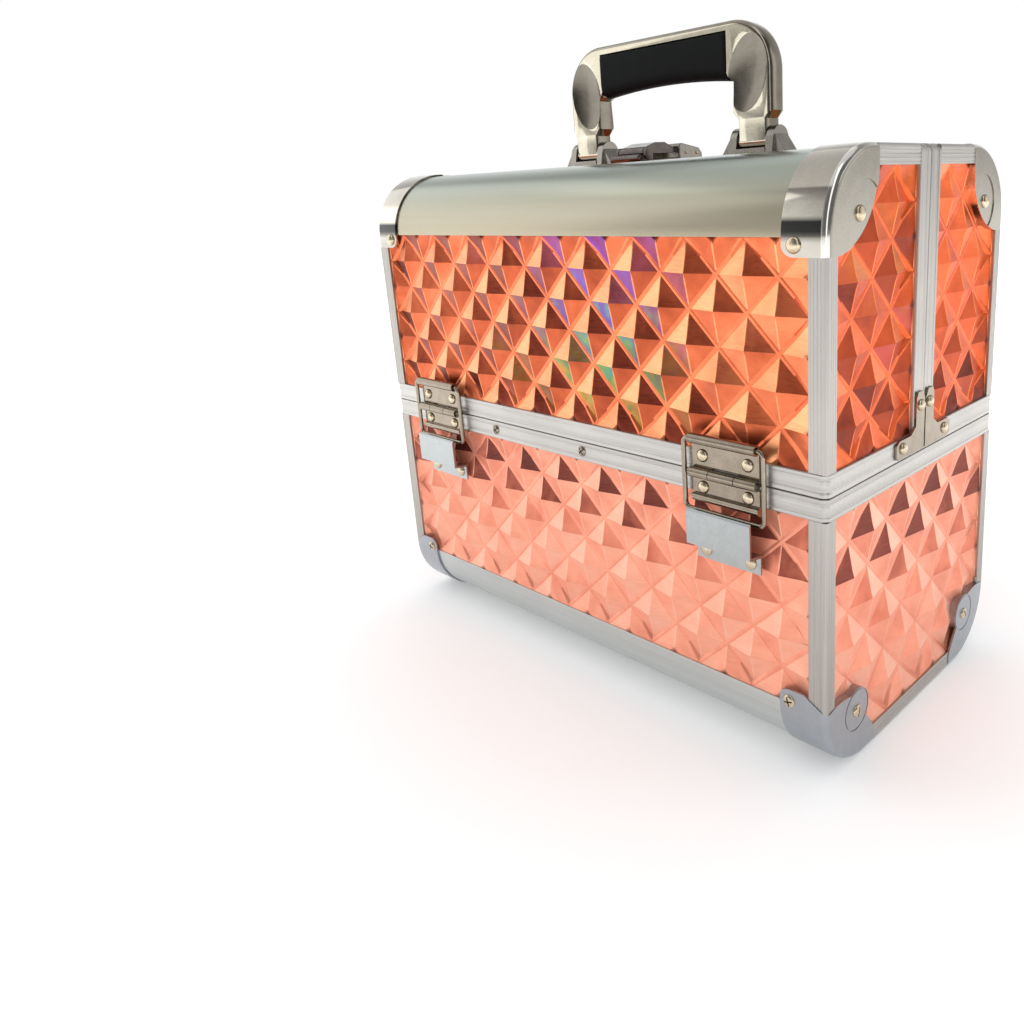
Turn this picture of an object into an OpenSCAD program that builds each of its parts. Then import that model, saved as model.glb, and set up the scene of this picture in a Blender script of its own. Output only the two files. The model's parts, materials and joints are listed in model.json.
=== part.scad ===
// Framed train case that opens like a book from a split across its top.
// Millimetres, Z up, origin at the middle of the footprint on the ground.
// X runs along the case, Y from front to back. It is drawn shut, with the handle up.

/* [Case] */
// Length of the case body along X
case_width = 344; // [330:1:360]
// Depth of the case body along Y
case_depth = 176; // [174:1:186]
// Height of the flat top above the ground
case_height = 292; // [288:1:304]
// Height of the seam between base and lids
seam_height = 145; // [143:1:147]
// Outer radius of the long quarter rounds
corner_radius = 36; // [34:1:38]

/* [Walls] */
// Thickness of the lined boards
board_thickness = 2.5; // [2:0.1:2.8]
// Thickness of the flat backing of the embossed sheet
sheet_thickness = 0.6; // [0.4:0.1:0.8]
// Height of the embossed pyramids above their valleys
pyramid_height = 3.2; // [2.4:0.1:3.4]
// Distance between two pyramid tips along a row
pyramid_pitch = 34; // [28:1:40]

/* [Frame] */
// Wall thickness of the aluminium profiles
profile_wall = 1.6; // [1.4:0.1:1.8]
// Height of each belt rim beside the seam
rim_height = 11; // [10:0.5:13]
// Width of each rim along the split between the lids
split_rim_width = 10.5; // [9:0.5:12]
// How far the rims stand out from the walls
rim_proud = 1; // [0.6:0.1:1.2]
// Width of a corner post on the long faces
post_width = 9; // [8:0.5:11]
// Width of a corner post on the ends
post_side_width = 7; // [6:0.5:8]
// Width of the strips along the top and bottom edges of the ends
strip_width = 8.5; // [7:0.5:10]
// How far posts and strips stand out from the walls
edge_proud = 0.8; // [0.5:0.1:1]
// Gap between base and lids, and between the two lids
seam_gap = 0.3; // [0.2:0.1:0.5]

/* [Corner caps] */
// Thickness of the pressed corner caps
cap_thickness = 1.2; // [1:0.1:1.5]
// Length of a cap along the quarter round
cap_band = 22; // [18:1:26]
// Radius of the rounded ear on each end face
cap_ear_radius = 36; // [33:1:38]
// How far the tab of a cap reaches past the quarter round
cap_tab = 8; // [6:0.5:10]

/* [Stay hinges] */
// Distance of each hinge from the middle of the case
hinge_place = 118; // [105:1:124]
// Width of the hinge leaves
leaf_width = 40; // [36:1:42]
// Thickness of leaves, keepers and brackets
leaf_thickness = 1.2; // [1:0.1:1.4]
// Radius of the hinge knuckles
knuckle_radius = 2.6; // [2.4:0.1:2.8]
// Radius of the hinge pins and the stay wire
wire_radius = 1.25; // [1:0.05:1.3]
// Running gap round pins, wires and rivets
running_gap = 0.35; // [0.3:0.05:0.4]
// Height of the rolled upper edge above the hinge pin
roll_height = 17; // [16:0.5:18]
// Length of the wire loop between its two bars
wire_length = 36; // [35:0.5:37]
// Outer width of the wire loop
wire_width = 50; // [49.5:0.5:52]
// Width of the keeper that holds the wire's lower bar
keeper_width = 38.5; // [34:0.5:40]
// Height of the keeper's pocket
keeper_height = 18; // [17.5:0.5:20]

/* [Trays] */
// Height of a tray
tray_height = 28; // [26:0.5:29]
// Room between the outer side of a tray and the lip of the belt rim
tray_side_room = 3.3; // [2.8:0.1:6]
// Wall thickness of the trays
tray_wall = 2; // [1.6:0.1:2.4]
// Corner radius of the trays seen from above
tray_corner = 7; // [5:0.5:9]
// Room between each end of a tray and the wall of the case
tray_end_room = 5.5; // [5.4:0.1:7]
// Gap between a tray and the middle plane of the case
middle_gap = 2; // [1.5:0.1:2.5]
// Room over the top tray, under the board of the lid
lid_headroom = 18.9; // [17.5:0.1:20.5]
// Distance of the outermost rivet from the outer side of its tray
rivet_outset = 13.5; // [12:0.5:14.5]
// Width of the link straps
strap_width = 12; // [10:0.5:13]
// Thickness of the link straps
strap_thickness = 1.5; // [1.2:0.1:1.6]
// Radius of the rivet shanks
rivet_radius = 2; // [1.6:0.1:2.2]
// Radius of the rivet heads
rivet_head = 4; // [3.5:0.1:4.5]
// Height of the fixed rivets below the seam
base_rivet_drop = 17; // [16:0.5:18]

/* [Handle] */
// Outer width of the handle
handle_width = 158; // [150:1:166]
// Height of the handle above its pivot
handle_rise = 63; // [60:1:66]
// Thickness of the chrome bow
handle_thickness = 13; // [11:0.5:13]
// Width of each handle leg
leg_width = 26; // [24:0.5:28]
// Width of a leg between the cheeks of its bracket
foot_width = 19; // [17:0.5:20]
// Depth of the grip below the bow
grip_height = 25; // [22:1:26]
// Thickness of the grip
grip_thickness = 15.5; // [14:0.5:16]
// Thickness of the bow over the grip
bow_top = 5.5; // [5:0.5:6.5]
// Length of the hollow in each face of a leg
scoop_length = 40; // [34:1:42]
// Width of that hollow
scoop_width = 18; // [14:1:18]
// Depth of that hollow
scoop_depth = 3; // [1.5:0.5:3.5]
// Distance of the handle pivot behind the split
handle_back = 12; // [11.5:0.5:13]
// Height of the handle pivot above the top
pivot_height = 9; // [8.5:0.5:10]

/* [Latch] */
// Width of the latch along the split
latch_width = 24; // [20:1:28]
// Reach of the latch lever across the split
latch_reach = 5.5; // [4:0.5:6]

/* [Hidden] */
$fn = 48;

// Small play so that flat cutters pass right through
over = 1;
// Half sizes of the body
half_width = case_width / 2;
half_depth = case_depth / 2;
// The body stands on its bottom caps
floor_height = cap_thickness;
// The embossed tips lie just under the outer plane of the walls
tip_inset = 0.2;
board_face = tip_inset + pyramid_height + sheet_thickness;
wall_depth = board_face + board_thickness;
inner_lip = 1.2;
lip_height = 8;
// How far the corners of the end sheets are drawn in, behind the caps
corner_nip = 10;
// Seam planes
base_top = seam_height - seam_gap / 2;
lid_bottom = seam_height + seam_gap / 2;
base_rim_low = seam_height - rim_height;
lid_rim_high = seam_height + rim_height;
split = seam_gap / 2;
// Centres of the quarter rounds, in Y and Z
arc_y = half_depth - corner_radius;
arc_low = floor_height + corner_radius;
arc_high = case_height - corner_radius;
// Cap tabs reach past the arcs
cap_low_edge = arc_low + cap_tab;
cap_high_edge = arc_high - cap_tab;
ear_y = -half_depth + 3;
ear_z = cap_high_edge + cap_ear_radius;
ear_end = ear_y + cap_ear_radius;
// Play between a cap and the quarter round in it
cap_play = 0.05;
low_ear_radius = cap_low_edge - floor_height - 0.5;
low_ear_end = -half_depth + 1 + low_ear_radius;
top_strip_width = strip_width + 3.5;
// Hinge pin and roll
pin_y = half_depth + rim_proud + knuckle_radius + 0.3;
roll_z = seam_height + roll_height;
wire_rest_z = roll_z - wire_length;
knuckle_length = 12.5;
// Screw holes in leaves, keepers and brackets, and their distance from the middle of a leaf
hole_radius = 1.6;
hole_place = 13.5;
// Straps and rivets, in X
tray_half_length = half_width - wall_depth - tray_end_room;
strap_play = 0.4;
head_play = 0.3;
inner_head = rivet_head - 0.8;
strap_x = tray_half_length + strap_play;
// First rivet of a tray, counted from its inner end
rivet_inset = 7.5;
tray_bottom_drop = tray_height * 0.55;
base_rivet_z = seam_height - base_rivet_drop;
// Depth of a tray from the middle outwards
tray_depth = half_depth - wall_depth - inner_lip - middle_gap - tray_side_room;
// Rise and step from one rivet to the next in the shut case, over three levels of trays
top_tray_high = case_height - wall_depth - lid_headroom;
strap_rise = (top_tray_high - tray_height + tray_bottom_drop - base_rivet_z) / 3;
strap_step = (tray_depth - rivet_inset - rivet_outset) / 2;
// Handle
pivot_z = case_height + pivot_height;
leg_centre = (handle_width - leg_width) / 2;
scoop_curve = 17;
scoop_side_radius = 31;
scoop_y = handle_thickness / 2 + scoop_curve - scoop_depth;

aluminium = [0.76, 0.75, 0.72];
chrome = [0.82, 0.81, 0.79];
satin = [0.62, 0.66, 0.69];
foil = [0.93, 0.62, 0.50];
lining = [0.07, 0.07, 0.07];
black = [0.05, 0.05, 0.05];

// Plain helpers

// Box between two corners
module span(a, b) {
    translate(a) cube(b - a);
}

// Copy of a piece and its mirror image in X
module both_ends() {
    children();
    mirror([1, 0, 0]) children();
}

// Copy of a piece and its mirror image in Y
module both_sides() {
    children();
    mirror([0, 1, 0]) children();
}

// Round bar along X, centred
module bar_x(radius, length) {
    rotate([0, 90, 0]) cylinder(r = radius, h = length, center = true);
}

// Extrudes an outline drawn in Y and Z along X, from one X to another
module extrude_x(from, to) {
    translate([from, 0, 0]) rotate([90, 0, 90]) linear_extrude(height = to - from) children();
}

// Extrudes an outline drawn in X and Z along Y, from one Y to another
module extrude_y(from, to) {
    translate([0, to, 0]) rotate([90, 0, 0]) linear_extrude(height = to - from) children();
}

// End outline of the case, grown outwards, with all four long edges round
module end_outline(grow) {
    radius = corner_radius + grow;
    low = floor_height - grow;
    for (side = [-1, 1], z = [arc_low, arc_high])
        translate([side * arc_y, z]) circle(r = radius);
    translate([-arc_y, low]) square([2 * arc_y, case_height + grow - low]);
    translate([-half_depth - grow, arc_low]) square([case_depth + 2 * grow, arc_high - arc_low]);
}

// Embossed sheet

// Sheet with pyramids on a square lattice turned by 45 degrees.
// It lies in X and Y with its back on Z = 0. Tips and valley crossings alternate on a grid
// of half a pitch, and each cell folds along the valley between its two crossings.
// The nips move its four corners inwards along X: near left, near right, far right, far left.
module embossed(width, height, nips = [0, 0, 0, 0]) {
    nx = max(2, floor(2 * width / pyramid_pitch));
    ny = max(1, round(2 * height / pyramid_pitch));
    rows = nx + 1;
    function at(i, j) = j * rows + i;
    function nip(i, j) =
        i == 0 ? (j == 0 ? nips[0] : j == ny ? nips[3] : 0)
        : i == nx ? (j == 0 ? -nips[1] : j == ny ? -nips[2] : 0) : 0;
    function place(i, j) = [i * width / nx + nip(i, j), j * height / ny];
    function top(i, j) = sheet_thickness + ((i + j) % 2 == 0 ? pyramid_height : 0);
    surface = [for (j = [0:ny], i = [0:nx]) [each place(i, j), top(i, j)]];
    border = concat([for (i = [0:nx]) [i, 0]], [for (j = [1:ny]) [nx, j]],
        [for (i = [nx - 1:-1:0]) [i, ny]], [for (j = [ny - 1:-1:1]) [0, j]]);
    count = len(surface);
    turns = len(border);
    function spot(k) = let (b = border[(k + turns) % turns]) place(b[0], b[1]);
    corners = [for (k = [0:turns - 1])
        if (abs(cross(spot(k) - spot(k - 1), spot(k + 1) - spot(k))) > 0.01) k];
    sides = len(corners);
    back = [for (k = corners) [each spot(k), 0]];
    cells = [for (j = [0:ny - 1], i = [0:nx - 1]) each
        (i + j) % 2 == 0
        ? [[at(i, j), at(i, j + 1), at(i + 1, j)], [at(i + 1, j + 1), at(i + 1, j), at(i, j + 1)]]
        : [[at(i, j), at(i + 1, j + 1), at(i + 1, j)], [at(i, j), at(i, j + 1), at(i + 1, j + 1)]]];
    edges = [for (m = [0:sides - 1])
        let (from = corners[m], to = m == sides - 1 ? corners[0] + turns : corners[m + 1])
        concat([for (k = [from:to]) let (b = border[k % turns]) at(b[0], b[1])],
            [count + (m + 1) % sides, count + m])];
    polyhedron(points = concat(surface, back),
        faces = concat(cells, edges, [[for (m = [0:sides - 1]) count + m]]));
}

// Embossed sheet on a long face, with its tips towards -Y
module long_sheet(low, high) {
    reach = half_width - post_width;
    translate([-reach, -half_depth + board_face, low])
        rotate([90, 0, 0]) embossed(2 * reach, high - low);
}

// Embossed sheet on the right end, with its tips towards +X
module end_sheet(from, to, low, high, nips) {
    translate([half_width - board_face, from, low]) rotate([90, 0, 90]) embossed(to - from, high - low, nips);
}

// Profiles

// Angle profile with an outer leg each way, returns at its free edges and fine grooves.
// The corner lies at the origin, the legs run along +X and +Y, and proud is towards -X and -Y.
module angle_section(a, b) {
    skin = profile_wall - 0.2;
    groove = 0.35;
    difference() {
        union() {
            translate([-edge_proud, -edge_proud]) square([a + edge_proud, skin]);
            translate([-edge_proud, -edge_proud]) square([skin, b + edge_proud]);
            translate([a - skin, -edge_proud]) square([skin, board_face + edge_proud]);
            translate([-edge_proud, b - skin]) square([board_face + edge_proud, skin]);
        }
        for (x = [1.5:1.8:a - 1.5]) translate([x, -edge_proud - over]) square([0.7, groove + over]);
        for (y = [1.5:1.8:b - 1.5]) translate([-edge_proud - over, y]) square([groove + over, 0.7]);
    }
}

// Corner post at the front right edge, between two heights
module post(low, high) {
    translate([half_width, -half_depth, low])
        mirror([1, 0, 0]) linear_extrude(height = high - low) angle_section(post_width, post_side_width);
}

// Strip along the top edge of the right end, between two places along Y
module top_strip(from, to) {
    translate([half_width, to, case_height])
        mirror([0, 0, 1]) rotate([90, 0, 0]) mirror([1, 0, 0])
            linear_extrude(height = to - from) angle_section(top_strip_width, strip_width);
}

// Strip along the bottom edge of the right end, between two places along Y
module bottom_strip(from, to) {
    translate([half_width, to, floor_height])
        rotate([90, 0, 0]) mirror([1, 0, 0])
            linear_extrude(height = to - from) angle_section(wall_depth, strip_width);
}

// Closed band round the case: a frame between two offsets from the walls and two heights
module belt_band(inner, outer, low, high, to_y) {
    difference() {
        span([-half_width - outer, -half_depth - outer, low],
            [half_width + outer, min(to_y, half_depth + outer), high]);
        span([-half_width - inner, -half_depth - inner, low - over],
            [half_width + inner, to_y >= half_depth ? half_depth + inner : to_y + over, high + over]);
    }
}

// Channel that hooks over the edge of boards and sheets at the seam, up to a place along Y
module belt_channel(edge, away, to_y) {
    module band(inner, outer, from, to) {
        a = edge + away * from;
        b = edge + away * to;
        belt_band(inner, outer, min(a, b), max(a, b), to_y);
    }
    height = rim_height - seam_gap / 2;
    difference() {
        union() {
            band(rim_proud - profile_wall, rim_proud, 0, height);
            band(-wall_depth - inner_lip, rim_proud, 0, profile_wall);
            band(-wall_depth - inner_lip, -wall_depth, 0, lip_height);
            band(-board_face, rim_proud, height - profile_wall, height);
        }
        band(rim_proud - 0.4, rim_proud + over, 2.6, 3.3);
        band(rim_proud - 0.4, rim_proud + over, height - 2.4, height - 1.9);
    }
}

// Frame round the ends and top along the split, between two offsets and two places along Y
module split_band(inner, outer, from, to) {
    difference() {
        span([-half_width - outer, -to, lid_rim_high], [half_width + outer, -from, case_height + outer]);
        span([-half_width - inner, -to - over, lid_rim_high - over],
            [half_width + inner, -from + over, case_height + inner]);
    }
}

// Channel along the split edge of the front lid
module split_channel() {
    difference() {
        union() {
            split_band(rim_proud - profile_wall, rim_proud, split, split_rim_width);
            split_band(-wall_depth - inner_lip, rim_proud, split, split + profile_wall);
            split_band(-wall_depth - inner_lip, -wall_depth, split, lip_height);
            split_band(-board_face, rim_proud, split_rim_width - profile_wall, split_rim_width);
        }
        split_band(rim_proud - 0.4, rim_proud + over, 2.6, 3.3);
        split_band(rim_proud - 0.4, rim_proud + over, 6, 6.7);
    }
}

// Long quarter round with a web and an inner lip at each end of its arc.
// It is drawn round the origin and fills the quarter towards -Y and +Z.
module quarter_round() {
    reach = half_width;
    inside = half_width - wall_depth;
    past = reach + over;
    round = corner_radius + over;
    difference() {
        bar_x(corner_radius, 2 * reach);
        bar_x(corner_radius - profile_wall, 2 * past);
        span([-past, 0, -round], [past, round, round]);
        span([-past, -round, -round], [past, over, 0]);
    }
    span([-inside, -corner_radius, 0], [inside, -corner_radius + wall_depth + inner_lip, profile_wall]);
    span([-inside, -corner_radius + wall_depth, -6], [inside, -corner_radius + wall_depth + inner_lip, 0]);
    span([-inside, -profile_wall, corner_radius - wall_depth - inner_lip], [inside, 0, corner_radius]);
    span([-inside, 0, corner_radius - wall_depth - inner_lip], [inside, 6, corner_radius - wall_depth]);
}

// Pressed corner cap on the upper front right corner
module upper_cap() {
    outer = half_width + cap_thickness;
    tab_y = -half_depth - cap_thickness;
    intersection() {
        union() {
            extrude_x(half_width - cap_band, outer) difference() {
                end_outline(cap_thickness);
                end_outline(cap_play);
            }
            extrude_x(half_width, outer) end_outline(cap_thickness);
        }
        union() {
            extrude_x(half_width - cap_band - over, half_width) {
                translate([tab_y, cap_high_edge])
                    square([ear_end - tab_y, corner_radius + cap_tab + cap_thickness]);
            }
            extrude_x(half_width, outer + over) difference() {
                translate([ear_y, ear_z]) circle(r = cap_ear_radius);
                translate([-arc_y - 12, arc_high + 8.3]) circle(r = hole_radius);
            }
        }
    }
}

// Pressed corner cap under the lower front right corner
module lower_cap() {
    outer = half_width + cap_thickness;
    tab_y = -half_depth - cap_thickness;
    intersection() {
        union() {
            extrude_x(half_width - cap_band - 3, outer) difference() {
                end_outline(cap_thickness);
                end_outline(cap_play);
            }
            extrude_x(half_width, outer) end_outline(cap_thickness);
        }
        union() {
            extrude_x(half_width - cap_band - 3 - over, half_width) {
                translate([tab_y, 0]) square([low_ear_end - tab_y, cap_low_edge]);
            }
            extrude_x(half_width, outer + over) {
                translate([-half_depth + 1, floor_height]) circle(r = low_ear_radius);
                translate([-arc_y - 9.5, arc_low - 9]) circle(r = 11);
            }
        }
    }
}

// Riveted angle bracket at the lower end of the split rim on the right end
module split_bracket() {
    low = lid_bottom + 1.4;
    wide = split_rim_width - 1;
    high = low + 30;
    extrude_x(half_width + rim_proud, half_width + rim_proud + leaf_thickness) difference() {
        polygon([[-0.6, low], [-0.6, high - 4], [-3, high], [-wide + 1.5, high], [-wide, high - 3],
            [-wide, low + 13], [-wide - 5, low + 9.5], [-26, low + 9.5], [-29, low + 7.5],
            [-29, low + 1.5], [-27, low]]);
        translate([-wide / 2, high - 7]) circle(r = hole_radius);
        translate([-22.5, low + 5]) circle(r = hole_radius);
    }
}

// Stay hinges, drawn on the front

// Upper leaf with two knuckles and a rolled upper edge that carries the wire
module upper_leaf() {
    half = leaf_width / 2;
    knuckle = knuckle_length;
    back = -half_depth - rim_proud;
    difference() {
        union() {
            span([-half, back - leaf_thickness, seam_height + 1.5], [half, back, roll_z]);
            translate([0, -pin_y, roll_z]) bar_x(knuckle_radius, leaf_width);
            for (side = [-1, 1]) {
                x = side * (half - knuckle / 2);
                translate([x, -pin_y, seam_height]) bar_x(knuckle_radius, knuckle);
                span([x - knuckle / 2, back - leaf_thickness, seam_height],
                    [x + knuckle / 2, back, seam_height + 2]);
            }
        }
        translate([0, -pin_y, roll_z]) bar_x(wire_radius + running_gap, leaf_width + 2 * over);
        translate([0, -pin_y, seam_height]) bar_x(wire_radius + running_gap, leaf_width + 2 * over);
        for (side = [-1, 1])
            translate([side * hole_place, back + over, roll_z - 8.5]) rotate([90, 0, 0])
                cylinder(r = hole_radius, h = 5);
        notch = half - knuckle + running_gap;
        span([-notch, -pin_y - knuckle_radius - over, seam_height - knuckle_radius - over],
            [notch, back + over, seam_height + knuckle_radius + running_gap]);
    }
}

// Lower leaf with the middle knuckle, the pin and a lip turned outwards
module lower_leaf() {
    half = leaf_width / 2;
    middle = half - knuckle_length;
    back = -half_depth - rim_proud;
    low = seam_height - 12.5;
    difference() {
        union() {
            span([-half, back - leaf_thickness, low],
                [half, back, seam_height - knuckle_radius - running_gap]);
            span([-middle, back - leaf_thickness, low], [middle, back, seam_height]);
            span([-half, back - leaf_thickness - 2, low], [half, back, low + leaf_thickness]);
            translate([0, -pin_y, seam_height]) bar_x(knuckle_radius, 2 * middle);
            translate([0, -pin_y, seam_height]) bar_x(wire_radius, leaf_width);
        }
        for (side = [-1, 1])
            translate([side * hole_place, back + over, seam_height - 7.5]) rotate([90, 0, 0])
                cylinder(r = hole_radius, h = 5);
    }
}

// Wire loop: two bars and two arms with round bends, hung from the roll
module stay_wire() {
    half = wire_width / 2 - wire_radius;
    bend = 3;
    translate([0, -pin_y, 0]) {
        for (z = [wire_rest_z, roll_z]) translate([0, 0, z]) bar_x(wire_radius, 2 * (half - bend));
        for (side = [-1, 1]) {
            translate([side * half, 0, wire_rest_z + bend])
                cylinder(r = wire_radius, h = wire_length - 2 * bend);
            for (turn = [0, 1])
                translate([side * (half - bend), 0, turn == 0 ? wire_rest_z + bend : roll_z - bend])
                    rotate([90, 0, 0])
                        rotate([0, 0, (side > 0 ? 0 : 90) + (turn == 0 ? (side > 0 ? -90 : 90) : 0)])
                            rotate_extrude(angle = 90) translate([bend, 0]) circle(r = wire_radius);
        }
    }
}

// Raised plate with a stepped foot: the wire's lower bar slides behind it
module keeper() {
    half = keeper_width / 2;
    inner = -pin_y - 3.2 - wire_radius;
    outer = inner - leaf_thickness;
    high = wire_rest_z + wire_radius + 0.5;
    low = high - keeper_height;
    foot = low - 10;
    wall = -half_depth;
    difference() {
        extrude_x(-half, half) polygon([
            [outer, high - 1], [outer + 1, high], [inner, high], [inner, low + leaf_thickness],
            [wall, low], [wall, foot], [wall - leaf_thickness, foot],
            [wall - leaf_thickness, low - leaf_thickness], [outer, low]]);
        for (side = [-1, 1])
            translate([side * hole_place, wall + over, foot + 5]) rotate([90, 0, 0])
                cylinder(r = hole_radius, h = 4);
    }
}

// Places a hinge piece at both hinges of the front
module at_hinges() {
    for (side = [-1, 1]) translate([side * hinge_place, 0, 0]) children();
}

// Trays and links, drawn on the front, where outwards is -Y

// Y of a rivet: step 0 is the inner rivet of a tray, step 2 the outer one
function rivet_y(step) = -(middle_gap + rivet_inset + step * strap_step);
// Z of the rivets of a level: level 0 is the base, level 3 the top tray
function rivet_z(level) = base_rivet_z + level * strap_rise;

// Outline of a tray seen from above, drawn in
module tray_outline(inset) {
    radius = tray_corner - inset;
    x = tray_half_length - tray_corner;
    near = -middle_gap - tray_corner;
    far = -middle_gap - tray_depth + tray_corner;
    for (a = [-x, x], b = [near, far]) translate([a, b]) circle(r = radius);
    translate([-x, far - radius]) square([2 * x, near - far + 2 * radius]);
    translate([-x - radius, far]) square([2 * (x + radius), near - far]);
}

// Cross-section of a tray, with its long lower edges cut off, drawn in
module tray_section(inset) {
    near = -middle_gap - inset;
    far = -middle_gap - tray_depth + inset;
    cut = 5 - inset * 0.4;
    polygon([[near, tray_height + over], [near, cut], [near - cut, inset], [far + cut, inset],
        [far, cut], [far, tray_height + over]]);
}

// Open tray with a shallow groove under its rim, chamfered long edges and a hole per rivet
module tray(level, steps) {
    bottom = rivet_z(level) - tray_bottom_drop;
    groove_drop = 6;
    groove_width = 3;
    translate([0, 0, bottom]) difference() {
        intersection() {
            linear_extrude(height = tray_height) tray_outline(0);
            extrude_x(-half_width, half_width) tray_section(0);
        }
        intersection() {
            translate([0, 0, tray_wall]) linear_extrude(height = tray_height) tray_outline(tray_wall);
            extrude_x(-half_width, half_width) tray_section(tray_wall);
        }
        translate([0, 0, tray_height - groove_drop]) difference() {
            linear_extrude(height = groove_width) tray_outline(-over);
            translate([0, 0, -over]) linear_extrude(height = groove_width + 2 * over) tray_outline(0.5);
        }
        for (step = steps) translate([0, rivet_y(step), tray_bottom_drop]) {
            bar_x(rivet_radius + 0.05, case_width);
            bar_x(inner_head + 0.1, 2 * (tray_half_length - tray_wall));
        }
    }
}

// Domed rivet through the tray wall and the strap, at the right end
module tray_rivet(level, step) {
    inside = tray_half_length - tray_wall;
    head = strap_x + strap_thickness + head_play;
    dome = 1.6;
    translate([0, rivet_y(step), rivet_z(level)]) rotate([0, 90, 0]) {
        translate([0, 0, inside - 1]) cylinder(r = inner_head, h = 1);
        translate([0, 0, inside - 1]) cylinder(r = rivet_radius, h = head - inside + 1.5);
        translate([0, 0, head]) intersection() {
            cylinder(r = rivet_head, h = dome);
            translate([0, 0, dome - 6]) sphere(r = 6);
        }
    }
}

// Rivets of one tray, at both ends
module tray_rivets(level, steps) {
    both_ends() for (step = steps) tray_rivet(level, step);
}

// Shouldered rivet fixed in the right wall of the base, with its head inwards
module base_rivet(step) {
    wall = half_width - wall_depth;
    shoulder = strap_x + strap_thickness + head_play;
    tip = 0.9;
    cap = 0.8;
    translate([0, rivet_y(step), rivet_z(0)]) rotate([0, 90, 0]) {
        translate([0, 0, shoulder]) cylinder(r = rivet_head, h = wall - shoulder);
        translate([0, 0, strap_x - tip]) cylinder(r = rivet_radius, h = wall - strap_x + tip);
        translate([0, 0, strap_x - tip - cap]) cylinder(r = rivet_head, h = cap + tip - head_play);
    }
}

// Flat link strap with round ends. It starts at a rivet and passes a number of levels.
module strap(level, step, levels) {
    lean = atan2(strap_step, strap_rise);
    length = sqrt(pow(strap_step, 2) + pow(strap_rise, 2));
    both_ends() translate([strap_x, rivet_y(step), rivet_z(level)])
        rotate([-lean, 0, 0]) rotate([90, 0, 90]) linear_extrude(height = strap_thickness) difference() {
            union() {
                for (n = [0, levels]) translate([0, n * length]) circle(d = strap_width);
                translate([-strap_width / 2, 0]) square([strap_width, levels * length]);
            }
            for (n = [0:levels]) translate([0, n * length]) circle(r = rivet_radius + running_gap);
        }
}

// Base

module base_boards() color(lining) {
    top = base_top - profile_wall;
    inside = half_width - wall_depth;
    both_sides() span([-inside, -half_depth + board_face, arc_low + profile_wall],
        [inside, -half_depth + wall_depth, top]);
    span([-inside, -arc_y + profile_wall, floor_height],
        [inside, arc_y - profile_wall, floor_height + wall_depth]);
    both_ends() extrude_x(inside, half_width - board_face) intersection() {
        end_outline(-board_face);
        translate([-half_depth, 0]) square([case_depth, top]);
    }
}

module base_long_panels() color(foil) both_sides() long_sheet(arc_low, base_rim_low);

module base_end_panels() color(foil) both_ends()
    end_sheet(-half_depth + post_side_width, half_depth - post_side_width, floor_height + strip_width,
        base_rim_low, [corner_nip, corner_nip, 0, 0]);

module base_quarter_rounds() color(satin) both_sides()
    translate([0, -arc_y, arc_low]) mirror([0, 0, 1]) quarter_round();

module base_edges() color(aluminium) both_ends() {
    both_sides() post(cap_low_edge, base_rim_low);
    bottom_strip(low_ear_end, -low_ear_end);
}

module base_rim() color(aluminium) belt_channel(base_top, -1, half_depth);

module base_corner_caps() color(satin) both_ends() both_sides() lower_cap();

module stay_lower_leaves() color(chrome) both_sides() at_hinges() lower_leaf();

module stay_keepers() color(satin) both_sides() at_hinges() keeper();

module base_rivets() color(chrome) both_sides() both_ends() {
    base_rivet(1);
    base_rivet(2);
}

// Lids: each piece is drawn for the front lid and mirrored for the back lid

module lid_boards() {
    low = lid_bottom + profile_wall;
    inside = half_width - wall_depth;
    edge = split + profile_wall;
    span([-inside, -half_depth + board_face, low],
        [inside, -half_depth + wall_depth, arc_high - profile_wall]);
    span([-inside, -arc_y + profile_wall, case_height - wall_depth],
        [inside, -edge, case_height - board_face]);
    both_ends() extrude_x(inside, half_width - board_face) intersection() {
        end_outline(-board_face);
        translate([-half_depth, low]) square([half_depth - edge, case_height]);
    }
}

module lid_end_panels() both_ends()
    end_sheet(-half_depth + post_side_width, -split_rim_width, lid_rim_high, case_height - strip_width,
        [0, 0, 0, corner_nip]);

module lid_top_panel() {
    reach = half_width - top_strip_width;
    translate([-reach, -arc_y, case_height - board_face]) embossed(2 * reach, arc_y - split_rim_width);
}

module lid_edges() both_ends() {
    post(lid_rim_high, cap_high_edge);
    top_strip(ear_end, -split_rim_width);
}

module lid_quarter_round() translate([0, -arc_y, arc_high]) quarter_round();

module front_lid_boards() color(lining) lid_boards();
module front_lid_face_panel() color(foil) long_sheet(lid_rim_high, arc_high);
module front_lid_end_panels() color(foil) lid_end_panels();
module front_lid_top_panel() color(foil) lid_top_panel();
module front_lid_quarter_round() color(satin) lid_quarter_round();
module front_lid_edges() color(aluminium) lid_edges();
module front_lid_rim() color(aluminium) belt_channel(lid_bottom, 1, -split);
module front_lid_split_rim() color(aluminium) split_channel();
module front_lid_corner_caps() color(chrome) both_ends() upper_cap();
module front_lid_brackets() color(chrome) both_ends() split_bracket();
module front_upper_leaves() color(chrome) at_hinges() upper_leaf();

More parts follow.
